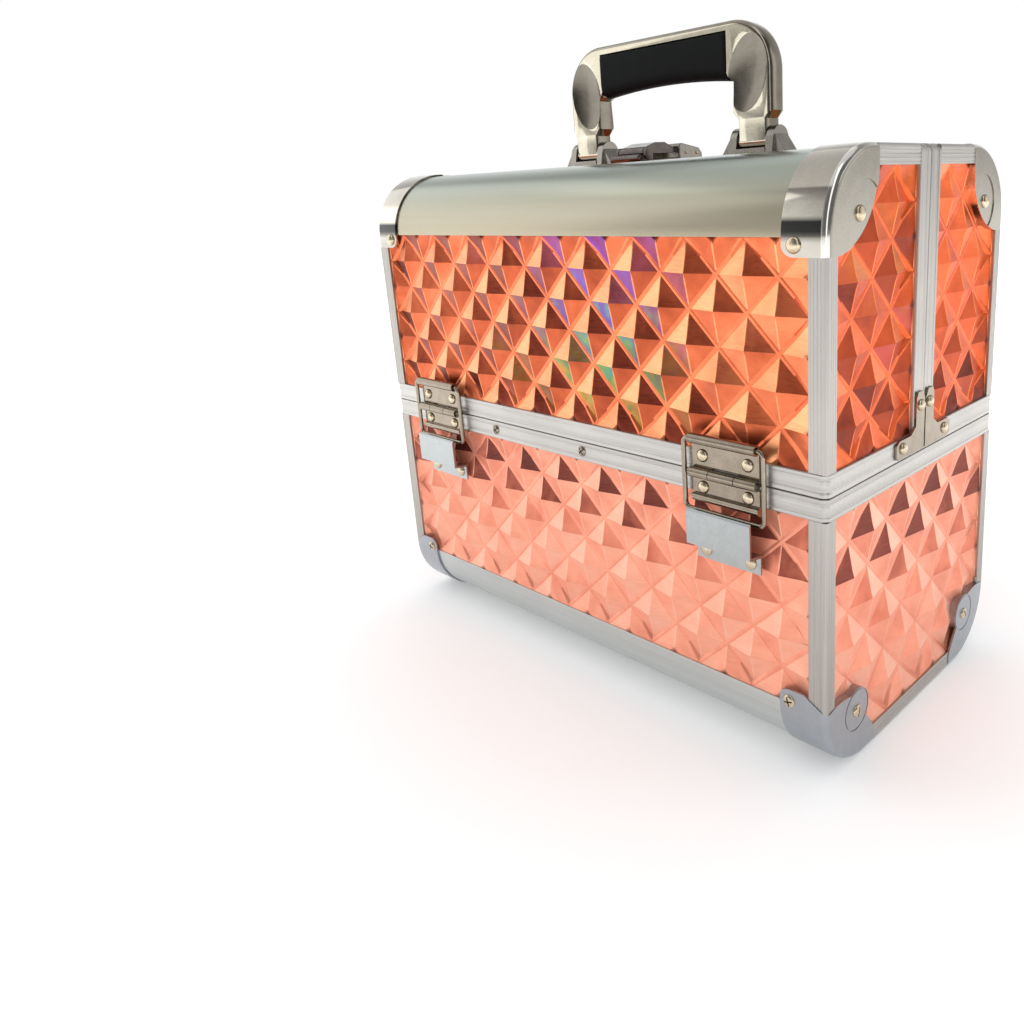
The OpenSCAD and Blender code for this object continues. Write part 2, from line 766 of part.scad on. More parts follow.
module back_lid_boards() color(lining) mirror([0, 1, 0]) lid_boards();
module back_lid_face_panel() color(foil) mirror([0, 1, 0]) long_sheet(lid_rim_high, arc_high);
module back_lid_end_panels() color(foil) mirror([0, 1, 0]) lid_end_panels();
module back_lid_top_panel() color(foil) mirror([0, 1, 0]) lid_top_panel();
module back_lid_quarter_round() color(satin) mirror([0, 1, 0]) lid_quarter_round();
module back_lid_edges() color(aluminium) mirror([0, 1, 0]) lid_edges();
module back_lid_rim() color(aluminium) mirror([0, 1, 0]) belt_channel(lid_bottom, 1, -split);
module back_lid_split_rim() color(aluminium) mirror([0, 1, 0]) split_channel();
module back_lid_corner_caps() color(chrome) mirror([0, 1, 0]) both_ends() upper_cap();
module back_lid_brackets() color(chrome) mirror([0, 1, 0]) both_ends() split_bracket();
module back_upper_leaves() color(chrome) mirror([0, 1, 0]) at_hinges() upper_leaf();

module front_stay_wires() color(chrome) at_hinges() stay_wire();
module back_stay_wires() color(chrome) mirror([0, 1, 0]) at_hinges() stay_wire();

// Which rivets each level has, counted in steps from the inner end
low_steps = [0, 1, 2];
mid_steps = [0, 1, 2];
top_steps = [0, 1];

module front_low_tray() color(black) tray(1, low_steps);
module front_mid_tray() color(black) tray(2, mid_steps);
module front_top_tray() color(black) tray(3, top_steps);
module back_low_tray() color(black) mirror([0, 1, 0]) tray(1, low_steps);
module back_mid_tray() color(black) mirror([0, 1, 0]) tray(2, mid_steps);
module back_top_tray() color(black) mirror([0, 1, 0]) tray(3, top_steps);

module front_low_rivets() color(chrome) tray_rivets(1, low_steps);
module front_mid_rivets() color(chrome) tray_rivets(2, mid_steps);
module front_top_rivets() color(chrome) tray_rivets(3, top_steps);
module back_low_rivets() color(chrome) mirror([0, 1, 0]) tray_rivets(1, low_steps);
module back_mid_rivets() color(chrome) mirror([0, 1, 0]) tray_rivets(2, mid_steps);
module back_top_rivets() color(chrome) mirror([0, 1, 0]) tray_rivets(3, top_steps);

module front_strap_a() color(aluminium) strap(1, 2, 2);
module front_strap_b() color(aluminium) strap(2, 2, 1);
module front_strap_c() color(aluminium) strap(0, 2, 2);
module front_strap_d() color(aluminium) strap(0, 1, 1);
module back_strap_a() color(aluminium) mirror([0, 1, 0]) strap(1, 2, 2);
module back_strap_b() color(aluminium) mirror([0, 1, 0]) strap(2, 2, 1);
module back_strap_c() color(aluminium) mirror([0, 1, 0]) strap(0, 2, 2);
module back_strap_d() color(aluminium) mirror([0, 1, 0]) strap(0, 1, 1);

// Handle and latch

// Outline of the bow in X and Z, with the pivot line at Z = 0
module bow_outline() {
    half = handle_width / 2;
    round = 27;
    inner = half - leg_width;
    seat = handle_rise - bow_top;
    difference() {
        union() {
            for (side = [-1, 1]) {
                translate([side * (half - round), handle_rise - round]) circle(r = round);
                translate([side * leg_centre - leg_width / 2, 12])
                    square([leg_width, handle_rise - round - 12]);
                translate([side * leg_centre - foot_width / 2, 0]) square([foot_width, 13]);
            }
            translate([-half + round, seat - 8]) square([2 * (half - round), handle_rise - seat + 8]);
        }
        translate([-inner, -over]) square([2 * inner, seat - grip_height + over]);
        translate([-inner + 4, 0]) square([2 * (inner - 4), seat]);
    }
}

module handle_bow() color(chrome) translate([0, handle_back, pivot_z]) difference() {
    union() {
        extrude_y(-handle_thickness / 2, handle_thickness / 2) bow_outline();
        for (side = [-1, 1]) translate([side * leg_centre, 0, 0]) bar_x(handle_thickness / 2, foot_width);
    }
    for (side = [-1, 1]) {
        translate([side * leg_centre, 0, 0]) bar_x(2.5 + running_gap, leg_width + 2 * over);
        for (face = [-1, 1])
            translate([side * (leg_centre + 1), face * scoop_y, 32]) rotate([0, side * 12, 0]) leg_scoop();
    }
}

// Long hollow cut into the face of a leg
module leg_scoop() {
    aside = scoop_side_radius - scoop_width / 2;
    intersection() {
        translate([0, 0, -scoop_length / 2]) cylinder(r = scoop_curve, h = scoop_length);
        rotate([90, 0, 0]) translate([0, 0, -scoop_length / 2]) intersection() {
            translate([-aside, 0, 0]) cylinder(r = scoop_side_radius, h = scoop_length);
            translate([aside, 0, 0]) cylinder(r = scoop_side_radius, h = scoop_length);
        }
    }
}

module handle_grip() color(black) translate([0, handle_back, pivot_z]) {
    half = handle_width / 2 - leg_width - 4;
    top = handle_rise - bow_top;
    low = top - grip_height;
    arch = 420;
    intersection() {
        extrude_y(-grip_thickness, grip_thickness) difference() {
            translate([-half, low]) square([2 * half, grip_height]);
            translate([0, low + 3 - arch]) circle(r = arch, $fn = 96);
        }
        extrude_x(-half, half) intersection() {
            translate([0, low + grip_thickness / 2]) circle(r = grip_thickness / 2 + 0.001);
            translate([-grip_thickness, low]) square([2 * grip_thickness, grip_height]);
        }
    }
    intersection() {
        extrude_y(-grip_thickness / 2, grip_thickness / 2)
            translate([-half, low + grip_thickness / 2]) square([2 * half, grip_height - grip_thickness / 2]);
        extrude_x(-half, half) translate([-grip_thickness / 2, low]) square([grip_thickness, grip_height]);
    }
}

// Bracket with two rounded cheeks, flared feet, a front web and the pivot pin
module handle_bracket() {
    near = foot_width / 2 + 0.4;
    thick = 4.7;
    deep = 9;
    seat = case_height + rim_proud;
    translate([leg_centre, handle_back, 0]) {
        foot = near + thick + 10;
        span([-foot, -deep, seat], [foot, deep, seat + 1.1]);
        span([-foot + 2, split_rim_width - handle_back, case_height - tip_inset], [foot - 2, deep, seat]);
        for (side = [-1, 1]) {
            extrude_x(side > 0 ? near : -near - thick, side > 0 ? near + thick : -near) {
                translate([0, pivot_z]) circle(r = 7.5);
                polygon([[-deep, seat], [deep, seat], [7.5, pivot_z], [-7.5, pivot_z]]);
            }
            extrude_y(-6, 6)
                polygon([[side * (near + thick), seat + 1], [side * (near + thick + 7), seat + 1],
                    [side * (near + thick), pivot_z + 3]]);
        }
        translate([0, 0, pivot_z]) bar_x(2.5, 2 * near + 2 * thick);
        span([-near, -deep, seat], [near, -deep + 1.8, seat + 4]);
    }
}

module handle_brackets() color(aluminium) both_ends() handle_bracket();

latch_pin_y = -19;
latch_seat = case_height + rim_proud;
latch_pin_z = latch_seat + 5.4;

// Plate with a rolled front edge and two ears that carry the lever, on the front lid
module latch_base() color(chrome) {
    half = latch_width / 2;
    nose = latch_pin_y - 6.5;
    span([-half, nose, latch_seat], [half, -1.5, latch_seat + 1.2]);
    span([-half + 2, nose + 2, case_height - tip_inset], [half - 2, -split_rim_width, latch_seat]);
    translate([0, nose, latch_seat + 1.6]) bar_x(1.6, latch_width);
    for (side = [-1, 1]) translate([side * (half - 1), latch_pin_y, latch_pin_z]) {
        bar_x(3, 2);
        span([-1, -3, latch_seat - latch_pin_z], [1, 3, 0]);
    }
    translate([0, latch_pin_y, latch_pin_z]) bar_x(1.2, latch_width);
}

// Curved lever that reaches over the split
module latch_lever() color(chrome) {
    half = latch_width / 2 - 2.4;
    rise = latch_seat + 4.6 - latch_pin_z;
    translate([0, latch_pin_y, latch_pin_z]) difference() {
        union() {
            bar_x(3, 2 * half);
            extrude_x(-half, half) polygon([[0, 0], [0, 3], [8, 5.4], [16, 5.6],
                [latch_reach - latch_pin_y, rise + 3.2], [latch_reach - latch_pin_y, rise + 1],
                [18, rise], [2.5, -1]]);
        }
        bar_x(1.2 + running_gap, latch_width);
    }
}

// Hollow catch housing on the back lid, with a sloping cover
module latch_box() color(aluminium) {
    half = latch_width / 2 + 0.5;
    near = latch_reach + 1;
    far = 27;
    span([-half, 1.5, latch_seat], [half, far, latch_seat + 1.2]);
    span([-half + 2, split_rim_width, case_height - tip_inset], [half - 2, far, latch_seat]);
    difference() {
        translate([0, 0, latch_seat]) extrude_x(-half, half)
            polygon([[near, 1], [near, 9.5], [near + 2, 10.5], [far - 3, 8], [far, 5], [far, 1]]);
        span([-half + 2, near - over, latch_seat + 2.4], [half - 2, near + 8, latch_seat + 8]);
    }
}

base_boards();
base_long_panels();
base_end_panels();
base_quarter_rounds();
base_edges();
base_rim();
base_corner_caps();
stay_lower_leaves();
stay_keepers();
base_rivets();
front_lid_boards();
front_lid_face_panel();
front_lid_end_panels();
front_lid_top_panel();
front_lid_quarter_round();
front_lid_edges();
front_lid_rim();
front_lid_split_rim();
front_lid_corner_caps();
front_lid_brackets();
front_upper_leaves();
back_lid_boards();
back_lid_face_panel();
back_lid_end_panels();
back_lid_top_panel();
back_lid_quarter_round();
back_lid_edges();
back_lid_rim();
back_lid_split_rim();
back_lid_corner_caps();
back_lid_brackets();
back_upper_leaves();
front_stay_wires();
back_stay_wires();
front_low_tray();
front_mid_tray();
front_top_tray();
back_low_tray();
back_mid_tray();
back_top_tray();
front_low_rivets();
front_mid_rivets();
front_top_rivets();
back_low_rivets();
back_mid_rivets();
back_top_rivets();
front_strap_a();
front_strap_b();
front_strap_c();
front_strap_d();
back_strap_a();
back_strap_b();
back_strap_c();
back_strap_d();
handle_bow();
handle_grip();
handle_brackets();
latch_base();
latch_lever();
latch_box();
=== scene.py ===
"""Framed train case with embossed foil sheets, dressed for its portrait.

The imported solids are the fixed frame. Each sub-assembly is a class that holds its sizes in
millimetres, builds its meshes around those solids and gives them their finishes.
"""
from __future__ import annotations

import json
import logging
import math
from dataclasses import dataclass, field
from enum import Enum
from typing import Callable, Iterable, Iterator, Sequence

import bmesh
import bpy
from mathutils import Matrix, Vector, geometry, noise

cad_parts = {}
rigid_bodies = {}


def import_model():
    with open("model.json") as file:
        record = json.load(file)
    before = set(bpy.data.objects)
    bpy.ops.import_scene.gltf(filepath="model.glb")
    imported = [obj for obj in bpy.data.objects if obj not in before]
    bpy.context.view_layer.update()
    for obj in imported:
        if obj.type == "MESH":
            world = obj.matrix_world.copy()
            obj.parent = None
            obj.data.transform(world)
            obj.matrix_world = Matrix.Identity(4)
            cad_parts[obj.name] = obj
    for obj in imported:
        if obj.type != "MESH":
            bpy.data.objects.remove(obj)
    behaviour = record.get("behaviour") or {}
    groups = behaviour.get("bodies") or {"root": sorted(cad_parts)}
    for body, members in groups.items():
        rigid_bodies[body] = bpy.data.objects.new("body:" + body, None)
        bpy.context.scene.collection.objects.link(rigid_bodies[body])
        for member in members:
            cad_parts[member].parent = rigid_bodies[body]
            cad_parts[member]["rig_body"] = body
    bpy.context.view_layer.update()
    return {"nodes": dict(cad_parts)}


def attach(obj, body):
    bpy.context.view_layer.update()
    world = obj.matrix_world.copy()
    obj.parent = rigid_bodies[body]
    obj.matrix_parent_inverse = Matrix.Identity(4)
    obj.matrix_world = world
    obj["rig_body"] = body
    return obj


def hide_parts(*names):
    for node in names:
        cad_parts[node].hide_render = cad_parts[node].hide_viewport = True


log = logging.getLogger("train_case")

MM = 0.001
JOIN_METRES = 2e-6
BEVEL_ANGLE = 34.0
Point2 = tuple[float, float]
Point3 = tuple[float, float, float]
Face = tuple[int, ...]
Colour = tuple[float, float, float]
PLAIN_TONE: Colour = (0.5, 0.0, 0.0)
Tree = bpy.types.NodeTree
Node = bpy.types.Node
Plug = bpy.types.NodeSocket
Material = bpy.types.Material


# Sizes that every piece shares


@dataclass(frozen=True)
class CaseSizes:
    """Driving sizes of the case in millimetres, as in the part's source."""

    width: float = 344.0
    depth: float = 176.0
    height: float = 292.0
    seam: float = 145.0
    radius: float = 36.0
    floor: float = 1.2
    board_face: float = 4.0
    wall: float = 6.5
    sheet: float = 0.6
    pyramid: float = 3.2
    pitch: float = 34.0
    rim_height: float = 11.0
    split_rim: float = 10.5
    proud: float = 1.0
    post: float = 9.0
    post_side: float = 7.0
    strip: float = 8.5
    top_strip: float = 12.0
    roll_z: float = 162.0
    hinge_x: float = 118.0
    cap_tab: float = 8.0

    @property
    def half_width(self) -> float:
        """Half the length of the body along X."""
        return self.width / 2

    @property
    def half_depth(self) -> float:
        """Half the depth of the body along Y."""
        return self.depth / 2

    @property
    def arc_y(self) -> float:
        """Distance of the quarter rounds' centres from the middle."""
        return self.half_depth - self.radius

    @property
    def arc_low(self) -> float:
        """Height of the lower quarter rounds' centres."""
        return self.floor + self.radius

    @property
    def arc_high(self) -> float:
        """Height of the upper quarter rounds' centres."""
        return self.height - self.radius


SIZES = CaseSizes()


class Mirror(Enum):
    """Which mirror images of a piece are made, as signs of X and Y."""

    NONE = ((1, 1),)
    ENDS = ((1, 1), (-1, 1))
    SIDES = ((1, 1), (1, -1))
    ALL = ((1, 1), (-1, 1), (1, -1), (-1, -1))


# Meshes


@dataclass
class Draft:
    """Points in millimetres, and faces with a material index and a tone each."""

    points: list[Vector] = field(default_factory=list)
    faces: list[Face] = field(default_factory=list)
    slots: list[int] = field(default_factory=list)
    tones: list[Colour] = field(default_factory=list)

    def add(self, points: Iterable[Sequence[float]], faces: Iterable[Sequence[int]],
            slot: int = 0, tone: Colour = PLAIN_TONE) -> "Draft":
        """Adds points and the faces between them.

        Args:
            points: new points, in millimetres.
            faces: faces, counted within the new points.
            slot: material index of the new faces.
            tone: values kept per face for the materials.

        Returns:
            This draft.
        """
        start = len(self.points)
        self.points.extend(Vector(p) for p in points)
        for face in faces:
            self.faces.append(tuple(start + i for i in face))
            self.slots.append(slot)
            self.tones.append(tone)
        return self

    def join(self, other: "Draft") -> "Draft":
        """Adds another draft to this one and returns this one."""
        start = len(self.points)
        self.points.extend(p.copy() for p in other.points)
        self.faces.extend(tuple(start + i for i in face) for face in other.faces)
        self.slots.extend(other.slots)
        self.tones.extend(other.tones)
        return self

    def moved(self, matrix: Matrix) -> "Draft":
        """Gives a copy moved by a matrix, with its faces turned over if the matrix mirrors."""
        turn = matrix.to_3x3().determinant() < 0
        faces = [tuple(reversed(f)) if turn else f for f in self.faces]
        return Draft([matrix @ p for p in self.points], faces, list(self.slots), list(self.tones))

    def at(self, x: float, y: float, z: float) -> "Draft":
        """Gives a copy shifted in millimetres."""
        return self.moved(Matrix.Translation((x, y, z)))

    def spread(self, mirror: Mirror) -> "Draft":
        """Gives a copy with its mirror images across the ends, the sides or both."""
        out = Draft()
        for x, y in mirror.value:
            out.join(self.moved(Matrix.Diagonal((x, y, 1, 1))))
        return out

    def mesh(self, name: str, materials: Sequence[Material | None]) -> bpy.types.Mesh:
        """Makes a plain mesh in metres with its materials."""
        made = bpy.data.meshes.new(name)
        made.from_pydata([p * MM for p in self.points], [], self.faces)
        for material in materials:
            made.materials.append(material)
        made.polygons.foreach_set("material_index", self.slots)
        return made

    def build(self, name: str, materials: Sequence[Material], body: str, slot: str,
              replaces: Sequence[str] = (), bevel: float = 0.0, segments: int = 2,
              smooth: float = 32.0, recalc: bool = True) -> None:
        """Makes the mesh object, rides it on its body and hides the nodes that it stands for.

        Args:
            name: name of the piece.
            materials: its materials, in the order of the face slots.
            body: body of the frame that it moves with.
            slot: material slot of the record; not used.
            replaces: nodes of the frame that it stands for.
            bevel: width of the rounded edges in millimetres, or 0 for none.
            segments: segments of the rounded edges.
            smooth: edges sharper than this many degrees stay sharp.
            recalc: turns all faces outwards.
        """
        mesh = self.mesh(name, materials)
        # Each face's tone goes to the materials; on the foil it carries painted light and shade.
        tone = mesh.color_attributes.new("tone", "FLOAT_COLOR", "CORNER")
        values: list[float] = []
        for polygon, value in zip(mesh.polygons, self.tones):
            values.extend((*value, 1.0) * polygon.loop_total)
        tone.data.foreach_set("color", values)
        weld(mesh, recalc)
        mesh.shade_smooth()
        mesh.set_sharp_from_angle(angle=math.radians(smooth))
        piece = placed(name, mesh)
        if bevel:
            round_edges(piece, bevel, segments)
        settle(piece, body, replaces)


def weld(mesh: bpy.types.Mesh, recalc: bool = True) -> None:
    """Joins the points that lie on each other, and turns all faces outwards if asked."""
    work = bmesh.new()
    work.from_mesh(mesh)
    bmesh.ops.remove_doubles(work, verts=work.verts, dist=JOIN_METRES)
    if recalc:
        bmesh.ops.recalc_face_normals(work, faces=work.faces)
    work.to_mesh(mesh)
    work.free()


def placed(name: str, data: bpy.types.ID) -> bpy.types.Object:
    """Makes an object of its data and links it into the scene."""
    made = bpy.data.objects.new(name, data)
    bpy.context.scene.collection.objects.link(made)
    return made


def settle(piece: bpy.types.Object, body: str, replaces: Sequence[str] = ()) -> None:
    """Rides a piece on its body and hides the nodes that it stands for."""
    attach(piece, body)
    if replaces:
        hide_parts(*replaces)
    log.info("%s rides on %s: %d faces", piece.name, body, len(piece.data.polygons))


def round_edges(piece: bpy.types.Object, width: float, segments: int) -> None:
    """Adds a bevel to the sharp edges of a piece, its width in millimetres."""
    bevel = piece.modifiers.new("edge_radius", "BEVEL")
    bevel.width = width * MM
    bevel.segments = segments
    bevel.limit_method = "ANGLE"
    bevel.angle_limit = math.radians(BEVEL_ANGLE)
    bevel.use_clamp_overlap = True
    bevel.harden_normals = True


def axes(x: Sequence[float], y: Sequence[float], z: Sequence[float],
         origin: Sequence[float] = (0, 0, 0)) -> Matrix:
    """Gives the matrix that puts local X, Y and Z on three directions from an origin."""
    columns = Matrix((x, y, z)).transposed().to_4x4()
    return Matrix.Translation(origin) @ columns


# Outlines drawn in Y and Z that rise to the right, and in X and Z that rise to the front
ON_END = axes((0, 1, 0), (0, 0, 1), (1, 0, 0))
ON_FRONT = axes((1, 0, 0), (0, 0, 1), (0, -1, 0))


def lids() -> Iterator[tuple[str, str, Matrix]]:
    """Gives each side, the body of its lid and the matrix that takes a front piece there."""
    for side, flip in (("front", 1), ("back", -1)):
        yield side, f"{side}_lid", Matrix.Diagonal((1, flip, 1, 1))


def clamp(value: float) -> float:
    """Keeps a value between 0 and 1."""
    return min(1.0, max(0.0, value))


def arc(centre: Point2, radius: float, start: float, end: float, steps: int) -> list[Point2]:
    """Gives points along an arc, its ends included, with the angles in degrees."""
    out = []
    for i in range(steps + 1):
        angle = math.radians(start + (end - start) * i / steps)
        out.append((centre[0] + radius * math.cos(angle), centre[1] + radius * math.sin(angle)))
    return out


def rounded(outline: Sequence[Point2], radius: float | Sequence[float],
            steps: int = 4) -> list[Point2]:
    """Rounds the corners of a closed outline.

    Args:
        outline: corner points.
        radius: one radius for all, or one for each corner.
        steps: segments of each rounded corner.

    Returns:
        The outline with arcs in place of its corners.
    """
    count = len(outline)
    radii = [radius] * count if isinstance(radius, (int, float)) else list(radius)
    out: list[Point2] = []
    for i in range(count):
        corner = Vector(outline[i])
        before = Vector(outline[i - 1]) - corner
        after = Vector(outline[(i + 1) % count]) - corner
        turn = before.angle(after, math.pi)
        if radii[i] <= 0 or turn > math.pi - 0.02:
            out.append((corner.x, corner.y))
            continue
        cut = min(radii[i] / math.tan(turn / 2), before.length * 0.49, after.length * 0.49)
        reach = cut * math.tan(turn / 2)
        middle = (before.normalized() + after.normalized()).normalized()
        centre = corner + middle * (reach / math.sin(turn / 2))
        first = corner + before.normalized() * cut - centre
        last = corner + after.normalized() * cut - centre
        for k in range(steps + 1):
            spot = first.lerp(last, k / steps).normalized() * reach + centre
            out.append((spot.x, spot.y))
    return out


def skin(count: int, wide: int, closed: bool = False) -> list[Face]:
    """Gives the faces between rings of points.

    Args:
        count: number of rings.
        wide: points of each ring.
        closed: joins the last ring to the first; otherwise both ends get a cap.

    Returns:
        The faces, counted from the first point of the first ring.
    """
    faces: list[Face] = []
    for i in range(count if closed else count - 1):
        a, b = i * wide, ((i + 1) % count) * wide
        faces += [(a + k, a + (k + 1) % wide, b + (k + 1) % wide, b + k) for k in range(wide)]
    if not closed:
        faces += [tuple(reversed(range(wide))), tuple(range((count - 1) * wide, count * wide))]
    return faces


def prism(outline: Sequence[Point2], low: float, high: float, slot: int = 0) -> Draft:
    """Extrudes a closed outline in X and Y from one height to another."""
    points = [(x, y, z) for z in (low, high) for x, y in outline]
    return Draft().add(points, skin(2, len(outline)), slot)


def block(low: Sequence[float], high: Sequence[float], slot: int = 0) -> Draft:
    """Gives a box between two corners, in millimetres."""
    outline = [(low[0], low[1]), (high[0], low[1]), (high[0], high[1]), (low[0], high[1])]
    return prism(outline, low[2], high[2], slot)


def lathe(profile: Sequence[Point2], steps: int = 32, slot: int = 0) -> Draft:
    """Turns a profile of radius and height round the Z axis. Radius 0 closes it."""
    points: list[Point3] = []
    rings: list[list[int]] = []
    for radius, height in profile:
        if radius < 1e-6:
            rings.append([len(points)] * steps)
            points.append((0.0, 0.0, height))
            continue
        rings.append(list(range(len(points), len(points) + steps)))
        for i in range(steps):
            angle = 2 * math.pi * i / steps
            points.append((radius * math.cos(angle), radius * math.sin(angle), height))
    faces = []
    for lower, upper in zip(rings, rings[1:]):
        for i in range(steps):
            j = (i + 1) % steps
            face = tuple(dict.fromkeys((lower[i], lower[j], upper[j], upper[i])))
            if len(face) > 2:
                faces.append(face)
    return Draft().add(points, faces, slot)


def sweep(profile: Sequence[Point2], path: Sequence[Point2], closed: bool = False) -> Draft:
    """Sweeps a closed profile along a path in X and Y, with mitred bends.

    Args:
        profile: closed outline as (distance to the right of the path, height).
        path: points of the path; a counterclockwise path has its outside on the right.
        closed: joins the end of the path to its start.

    Returns:
        The swept mesh, with end caps where the path is open.
    """
    count, wide = len(path), len(profile)
    points = []
    for i, spot in enumerate(path):
        here = Vector(spot)
        before = Vector(path[i - 1]) if (i or closed) else None
        after = Vector(path[(i + 1) % count]) if (i < count - 1 or closed) else None
        one = (here - before).normalized() if before is not None else (after - here).normalized()
        two = (after - here).normalized() if after is not None else one
        along = (one + two).normalized()
        right = Vector((along.y, -along.x))
        stretch = 1 / max(0.3, right.dot(Vector((one.y, -one.x))))
        for off, height in profile:
            points.append((*(here + right * off * stretch), height))
    return Draft().add(points, skin(count, wide, closed))


def tube(path: Sequence[Sequence[float]], radius: float, sides: int = 12) -> Draft:
    """Lays a round bar along a path in space."""
    spots = [Vector(p) for p in path]
    points: list[Vector] = []
    normal = None
    for before, spot, after in zip(spots[:1] + spots, spots, spots[1:] + spots[-1:]):
        along = (after - before).normalized()
        if normal is None:
            normal = along.orthogonal().normalized()
        normal = (normal - along * normal.dot(along)).normalized()
        other = along.cross(normal)
        for k in range(sides):
            angle = 2 * math.pi * k / sides
            points.append(spot + (normal * math.cos(angle) + other * math.sin(angle)) * radius)
    return Draft().add(points, skin(len(spots), sides))


def carve(draft: Draft, cutters: Sequence[Draft]) -> Draft:
    """Cuts closed drafts out of a closed draft.

    Args:
        draft: what is cut.
        cutters: closed forms, whose cut faces keep their own material index.

    Returns:
        The cut draft, in millimetres.
    """
    top = max([*draft.slots, *(s for c in cutters for s in c.slots)]) + 1

    def temporary(source: Draft, name: str) -> bpy.types.Object:
        """Makes a working object of a draft."""
        mesh = source.mesh(name, [None] * top)
        weld(mesh)
        return placed(name, mesh)

    body = temporary(draft, "work_body")
    tools = [temporary(cutter, "work_cutter") for cutter in cutters]
    for cutter in tools:
        cut = body.modifiers.new("cut", "BOOLEAN")
        cut.operation = "DIFFERENCE"
        cut.solver = "EXACT"
        cut.material_mode = "INDEX"
        cut.object = cutter
    bpy.context.view_layer.update()
    whole = body.evaluated_get(bpy.context.evaluated_depsgraph_get())
    result = whole.to_mesh()
    out = Draft([v.co / MM for v in result.vertices], [tuple(p.vertices) for p in result.polygons],
                [p.material_index for p in result.polygons], [PLAIN_TONE] * len(result.polygons))
    whole.to_mesh_clear()
    for made in (body, *tools):
        mesh = made.data
        bpy.data.objects.remove(made)
        bpy.data.meshes.remove(mesh)
    return out


# Shader effects


@dataclass(frozen=True)
class Socket:
    """A named input or output of an effect."""

    name: str
    kind: str = "NodeSocketFloat"
    value: float | None = None


class Effect:
    """A shader node group that several materials share."""

    def __init__(self, name: str, inputs: Sequence[Socket], outputs: Sequence[Socket]) -> None:
        """Makes the empty group with its sockets.

        Args:
            name: name of the group.
            inputs: input sockets with their defaults.
            outputs: output sockets.
        """
        self.tree = bpy.data.node_groups.new(name, "ShaderNodeTree")
        for side, sockets in (("INPUT", inputs), ("OUTPUT", outputs)):
            for socket in sockets:
                made = self.tree.interface.new_socket(name=socket.name, in_out=side,
                                                      socket_type=socket.kind)
                if socket.value is not None:
                    made.default_value = socket.value
        self.source = self.tree.nodes.new("NodeGroupInput")
        self.target = self.tree.nodes.new("NodeGroupOutput")

    def take(self, name: str) -> Plug:
        """Gives one of the group's inputs to its nodes."""
        return self.source.outputs[name]

    def give(self, **results: Plug) -> "Effect":
        """Links results to the group's outputs and returns the effect."""
        for name, result in results.items():
            self.tree.links.new(result, self.target.inputs[name])
        return self


def feed(tree: Tree, value: object, slot: Plug) -> None:
    """Links a socket into an input, or sets the input to a number or colour."""
    if isinstance(value, Plug):
        tree.links.new(value, slot)
    elif slot.type == "RGBA":
        slot.default_value = (*value, 1.0)
    else:
        slot.default_value = value


def add_node(tree: Tree, kind: str, **values: object) -> Node:
    """Adds a node to a tree.

    Args:
        tree: the tree.
        kind: the node's type without its ShaderNode prefix.
        **values: properties, with a leading underscore, and values or sockets for inputs,
            with _ for a space.

    Returns:
        The node.
    """
    made = tree.nodes.new("ShaderNode" + kind)
    for key, value in values.items():
        if key.startswith("_"):
            setattr(made, key[1:], value)
        else:
            feed(tree, value, made.inputs[key.replace("_", " ")])
    return made


def maths(tree: Tree, operation: str, *values: object, clamp: bool = False) -> Plug:
    """Adds a Math node over sockets or numbers and gives its output."""
    made = add_node(tree, "Math", _operation=operation, _use_clamp=clamp)
    for slot, value in zip(made.inputs, values):
        feed(tree, value, slot)
    return made.outputs[0]


def blend(tree: Tree, factor: object, a: object, b: object, mode: str = "MIX") -> Plug:
    """Adds a colour Mix node and gives its output."""
    made = add_node(tree, "Mix", _data_type="RGBA", _blend_type=mode, _clamp_factor=True)
    for i, value in ((0, factor), (6, a), (7, b)):
        feed(tree, value, made.inputs[i])
    return made.outputs[2]


def ramp(tree: Tree, value: Plug, stops: Sequence[tuple[float, Colour]]) -> Plug:
    """Adds a colour ramp over a value and gives its colour."""
    made = add_node(tree, "ValToRGB", Fac=value)
    marks = made.color_ramp.elements
    marks[0].position, marks[0].color = stops[0][0], (*stops[0][1], 1.0)
    marks[1].position, marks[1].color = stops[-1][0], (*stops[-1][1], 1.0)
    for position, colour in stops[1:-1]:
        marks.new(position).color = (*colour, 1.0)
    return made.outputs[0]


def own_place(tree: Tree) -> Plug:
    """Gives the place in the object's own coordinates."""
    return add_node(tree, "TexCoord").outputs["Object"]


def centred(tree: Tree, value: Plug) -> Plug:
    """Shifts a value from 0 to 1 so that its middle is 0."""
    return maths(tree, "SUBTRACT", value, 0.5)


